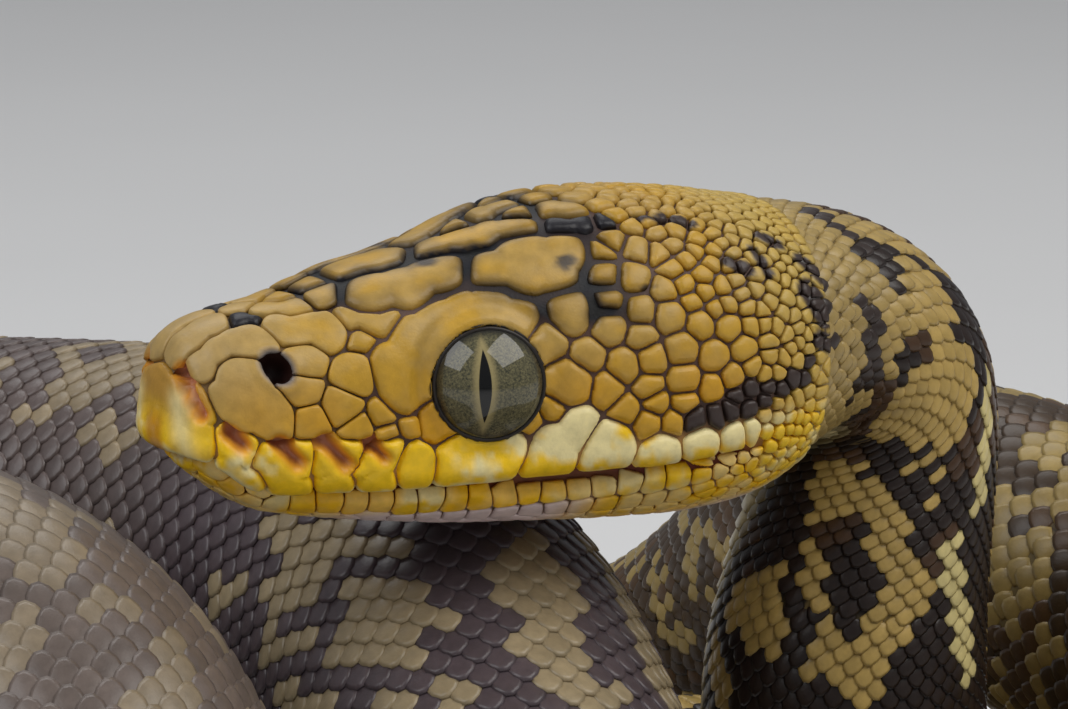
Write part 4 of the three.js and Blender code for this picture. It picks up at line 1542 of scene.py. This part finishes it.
def coat_lengths():
    """Name, start and end of each length of the body."""
    trunk = np.linspace(NECK_END, VENT, TRUNK_LENGTHS + 1)
    ends = np.concatenate([[0], trunk, [BODY_LENGTH + 5]])
    return zip(LENGTH_NAMES, ends[:-1], ends[1:])


def belly_scutes():
    """Distance, angle, half length and half width of the belly scutes."""
    at, rows = HEAD_PART_END, []
    half_turn = math.pi - BELLY_EDGE + SCUTE_OVERLAP
    while at < VENT:
        length = float(curve(SCALE_LENGTH, at))
        rows.append([at, math.pi, length / 2, half_turn])
        at += length
    while at < TAIL_SCUTE_END:
        length = float(curve(SCALE_LENGTH, at))
        for side in (1, -1):
            rows.append([at, math.pi + side * half_turn / 2, length / 2, half_turn / 2])
        at += length
    return np.array(rows)


def make_body_scales():
    spots, scutes = scale_places(), belly_scutes()
    material = scale_material("body_horn")
    belly = scale_material("belly_horn")
    tints = varied(body_colour(spots[:, 0], spots[:, 1]), spots, SCALE_VARIETY, SCALE_SEED)
    belly_tints = np.broadcast_to(BELLY_PALE, (len(scutes), 3))
    belly_tints = varied(belly_tints, scutes, SCUTE_VARIETY, SCUTE_SEED)
    pieces = []
    for name, start, end in coat_lengths():
        here = (spots[:, 0] >= start) & (spots[:, 0] < end)
        first = max(start, HEAD_PART_END - 2)
        piece = scales_piece(f"scales_{name}", spots[here], rhomb_template(), tints[here], first, end)
        piece.data.materials.append(material)
        low = (scutes[:, 0] >= start) & (scutes[:, 0] < end)
        under = scales_piece(f"scutes_{name}", scutes[low], scute_template(), belly_tints[low], first, end)
        under.data.materials.append(belly)
        pieces += [(piece, name), (under, name)]
    return pieces


# ------------------------------------------------------------------ eyes
IRIS_LIGHT = (0.17, 0.15, 0.075, 1)
IRIS_DARK = (0.03, 0.032, 0.022, 1)
PUPIL_HEIGHT = 2.75       # half height of the slit
PUPIL_WIDTH = 0.46        # half width of the slit at its middle
PUPIL_FORWARD = 0.7       # how far towards the snout the slit stands
IRIS_GOLD = (0.36, 0.29, 0.13, 1)      # the bright band beside the slit
IRIS_EDGE = (0.012, 0.011, 0.01, 1)
PUPIL_BLACK = (0.002, 0.002, 0.002, 1)
FLECK_RANGE = (0.38, 0.62)             # of the noise between the dark and the light iris
BAND = (0.12, 0.75)       # distances from the slit over which the gold fades
BAND_STRENGTH = 0.75
IRIS_EDGE_RANGE = (3.5, 4.3)           # distances from the middle over which the edge darkens
SLIT_SOFTNESS = 0.06
EYE_RINGS = 48
EYE_TURNS = 96


def maths(tree, operation, *values):
    made = node(tree, "ShaderNodeMath", operation=operation)
    for socket, value in zip(made.inputs, values):
        give(tree, socket, value)
    return made.outputs[0]


def blend(tree, share, a, b):
    return node(tree, "ShaderNodeMix", data_type="RGBA", Factor=share, A=a, B=b).outputs["Result"]


def eye_distances(tree, x, y):
    """Distance of a place on the iris from the pupil's slit, and from the iris's middle."""
    level = maths(tree, "DIVIDE", y, PUPIL_HEIGHT)
    room = maths(tree, "SUBTRACT", 1, maths(tree, "MULTIPLY", level, level))
    slit = maths(tree, "MULTIPLY", room, PUPIL_WIDTH)
    from_slit = maths(tree, "ABSOLUTE", maths(tree, "ADD", x, PUPIL_FORWARD))
    squares = [maths(tree, "MULTIPLY", value, value) for value in (x, y)]
    return maths(tree, "SUBTRACT", from_slit, slit), maths(tree, "SQRT", maths(tree, "ADD", *squares))


def eye_material():
    """Olive iris with gold flecks, paler beside the upright slit of the pupil."""
    material, tree, shader = nodes_of("eye_glass")
    where = node(tree, "ShaderNodeAttribute", attribute_name="EyePlace").outputs["Vector"]
    parts = node(tree, "ShaderNodeSeparateXYZ", Vector=where)
    beside, away = eye_distances(tree, parts.outputs["X"], parts.outputs["Y"])
    flecks = node(tree, "ShaderNodeTexNoise", Vector=where, Scale=5.5, Detail=6, Roughness=0.75)
    ramp = node(tree, "ShaderNodeValToRGB", Fac=flecks.outputs["Fac"])
    for stop, position, tint in zip(ramp.color_ramp.elements, FLECK_RANGE, (IRIS_DARK, IRIS_LIGHT)):
        stop.position = position
        stop.color = tint
    band = map_range(tree, beside, (BAND_STRENGTH, 0), BAND, "SMOOTHSTEP")
    edge = map_range(tree, away, (0, 1), IRIS_EDGE_RANGE, "SMOOTHSTEP")
    hole = map_range(tree, beside, (0, 1), (0, SLIT_SOFTNESS), "SMOOTHSTEP")
    iris = blend(tree, edge, blend(tree, band, ramp.outputs["Color"], IRIS_GOLD), IRIS_EDGE)
    finish_shader(tree, shader, {
        "Base Color": blend(tree, hole, PUPIL_BLACK, iris),
        "Roughness": 0.6,
        "Specular IOR Level": 0.05,
        "Coat Weight": 1.0,
        "Coat Roughness": 0.015,
        "Coat IOR": 1.5,
    })
    return material


def eye_axes(side):
    """The middle of an eyeball, and its directions forward, up and out along its gaze."""
    centre, left, back, tangent = (row[0] for row in frames(np.array([EYE[0]])))
    middle = centre + left * side * EYE[1] + back * EYE[2]
    gaze = tangent * GAZE[0] + left * side * GAZE[1] + back * GAZE[2]
    upright = unit(back - gaze * (back @ gaze))
    return middle, np.cross(upright, gaze), upright, gaze


def make_eye(side, material):
    """An eyeball, with each point's place across and up over the iris kept for its material."""
    middle, forward, upright, gaze = eye_axes(side)
    polar = np.linspace(0, math.pi, EYE_RINGS + 1)[1:-1, None]
    turn = np.arange(EYE_TURNS) * 2 * math.pi / EYE_TURNS
    sphere = (np.sin(polar) * np.cos(turn), np.sin(polar) * np.sin(turn), np.cos(polar))
    local = np.stack(np.broadcast_arrays(*sphere), -1).reshape(-1, 3)
    local = np.vstack([local, [0, 0, 1], [0, 0, -1]]) * EYE_RADIUS
    points = middle + forward * local[:, :1] + upright * local[:, 1:2] + gaze * local[:, 2:]
    index, after, quads = ring_grid(EYE_RINGS - 1, EYE_TURNS)
    pole, rear = len(local) - 2, len(local) - 1
    caps = [[pole, a, b] for a, b in zip(index[0], after[0])]
    caps += [[rear, b, a] for a, b in zip(index[-1], after[-1])]
    name = "eyeball_left" if side > 0 else "eyeball_right"
    mesh = bpy.data.meshes.new(name)
    mesh.from_pydata((points * MM).tolist(), [], quads.tolist() + caps)
    mesh.update()
    mesh.polygons.foreach_set("use_smooth", np.ones(len(mesh.polygons), bool))
    iris_place = local * [side, 1, 1]
    layer = mesh.attributes.new("EyePlace", "FLOAT_VECTOR", "POINT")
    layer.data.foreach_set("vector", iris_place.astype(np.float32).ravel())
    mesh.materials.append(material)
    return placed(name, mesh)


RIM_TUBE = 0.17           # radius of the fold of skin round the eye
RIM_TURNS = 96
RIM_SIDES = 12


def make_eye_rim(side, material):
    """The thin dark fold of skin that closes the shields on to the eyeball."""
    middle, beside, upright, gaze = eye_axes(side)
    turn = np.arange(RIM_TURNS)[:, None, None] * 2 * math.pi / RIM_TURNS
    roll = np.arange(RIM_SIDES)[None, :, None] * 2 * math.pi / RIM_SIDES
    outward = beside * np.cos(turn) + upright * np.sin(turn)
    depth = math.sqrt(EYE_RADIUS ** 2 - EYE_OPENING ** 2)
    points = middle + outward * (EYE_OPENING + RIM_TUBE * np.cos(roll))
    points = (points + gaze * (depth + RIM_TUBE * np.sin(roll))).reshape(-1, 3)
    index = np.arange(RIM_TURNS * RIM_SIDES).reshape(RIM_TURNS, RIM_SIDES)
    along, over = np.roll(index, -1, 0), np.roll(index, -1, 1)
    quads = np.stack([index, along, np.roll(along, -1, 1), over], -1).reshape(-1, 4)
    triangles = np.vstack([quads[:, (0, 1, 2)], quads[:, (0, 2, 3)]])
    tint = np.broadcast_to(EYE_RIM, points.shape)
    piece = new_mesh("eye_rim_left" if side > 0 else "eye_rim_right", points, triangles, tint)
    piece.data.materials.append(material)
    return piece


# ------------------------------------------------------------------ camera, light and floor
SENSOR = 36.0
# Softboxes: name, place and size in metres, power in watts, and colour.
LIGHTS = [
    ("right", (0.46, -0.19, 0.64), (0.72, 0.52), 3.9, (1, 0.98, 0.95)),
    ("left", (-0.45, -0.29, 0.60), (0.62, 0.54), 3.0, (0.97, 0.98, 1)),
    ("behind", (-0.1, 0.45, 0.65), (0.5, 0.4), 1.2, (1, 1, 1)),
]
SKY = (0.8, 0.83, 0.88, 1)
SKY_STRENGTH = 0.22
FLOOR_REACH = 3.0         # metres


def make_camera():
    data = bpy.data.cameras.new("camera")
    data.sensor_width = SENSOR
    data.sensor_fit = "HORIZONTAL"
    data.lens = SENSOR * CAMERA_DISTANCE * PIXELS_PER_MM / PHOTO_WIDTH
    data.clip_start = 0.01
    camera = placed("camera", data)
    camera.location = (CAMERA_AIM + TO_CAMERA * CAMERA_DISTANCE) * MM
    camera.rotation_euler = (math.pi / 2 - CAMERA_DROP, 0, 0)
    bpy.context.scene.camera = camera


def softbox(name, place_at, size, power, warmth):
    data = bpy.data.lights.new(name, "AREA")
    data.shape = "RECTANGLE"
    data.size, data.size_y = size
    data.energy = power
    data.color = warmth
    light = placed(name, data)
    light.location = place_at
    aim = Vector(CAMERA_AIM * MM) - Vector(place_at)
    light.rotation_euler = aim.to_track_quat("-Z", "Y").to_euler()


def make_lights():
    for light in LIGHTS:
        softbox(*light)
    world = bpy.data.worlds.new("studio")
    world.use_nodes = True
    sky = world.node_tree.nodes["Background"]
    sky.inputs["Color"].default_value = SKY
    sky.inputs["Strength"].default_value = SKY_STRENGTH
    bpy.context.scene.world = world
    bpy.context.scene.view_settings.view_transform = "Standard"


def make_floor():
    mesh = bpy.data.meshes.new("floor")
    corners = [(x * FLOOR_REACH, y * FLOOR_REACH, 0) for x, y in ((-1, -1), (1, -1), (1, 1), (-1, 1))]
    mesh.from_pydata(corners, [], [(0, 1, 2, 3)])
    floor = placed("floor", mesh)
    floor.data.materials.append(stage_material())


# ------------------------------------------------------------------ the model
make_camera()
make_lights()
make_floor()

skin = make_skin()
flesh_nodes = ["head", "lower_jaw", *LENGTH_NAMES]
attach(skin, "root")
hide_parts(*flesh_nodes)

for head_piece in make_head_plates():
    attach(head_piece, "root")

for coat_piece, length_name in make_body_scales():
    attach(coat_piece, "root")

eye_glass = eye_material()
rim_skin = scale_material("rim_skin")
for eye_side, eye_node in ((1, "eye_left"), (-1, "eye_right")):
    eyeball = make_eye(eye_side, eye_glass)
    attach(eyeball, "root")
    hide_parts(eye_node)
    rim = make_eye_rim(eye_side, rim_skin)
    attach(rim, "root")
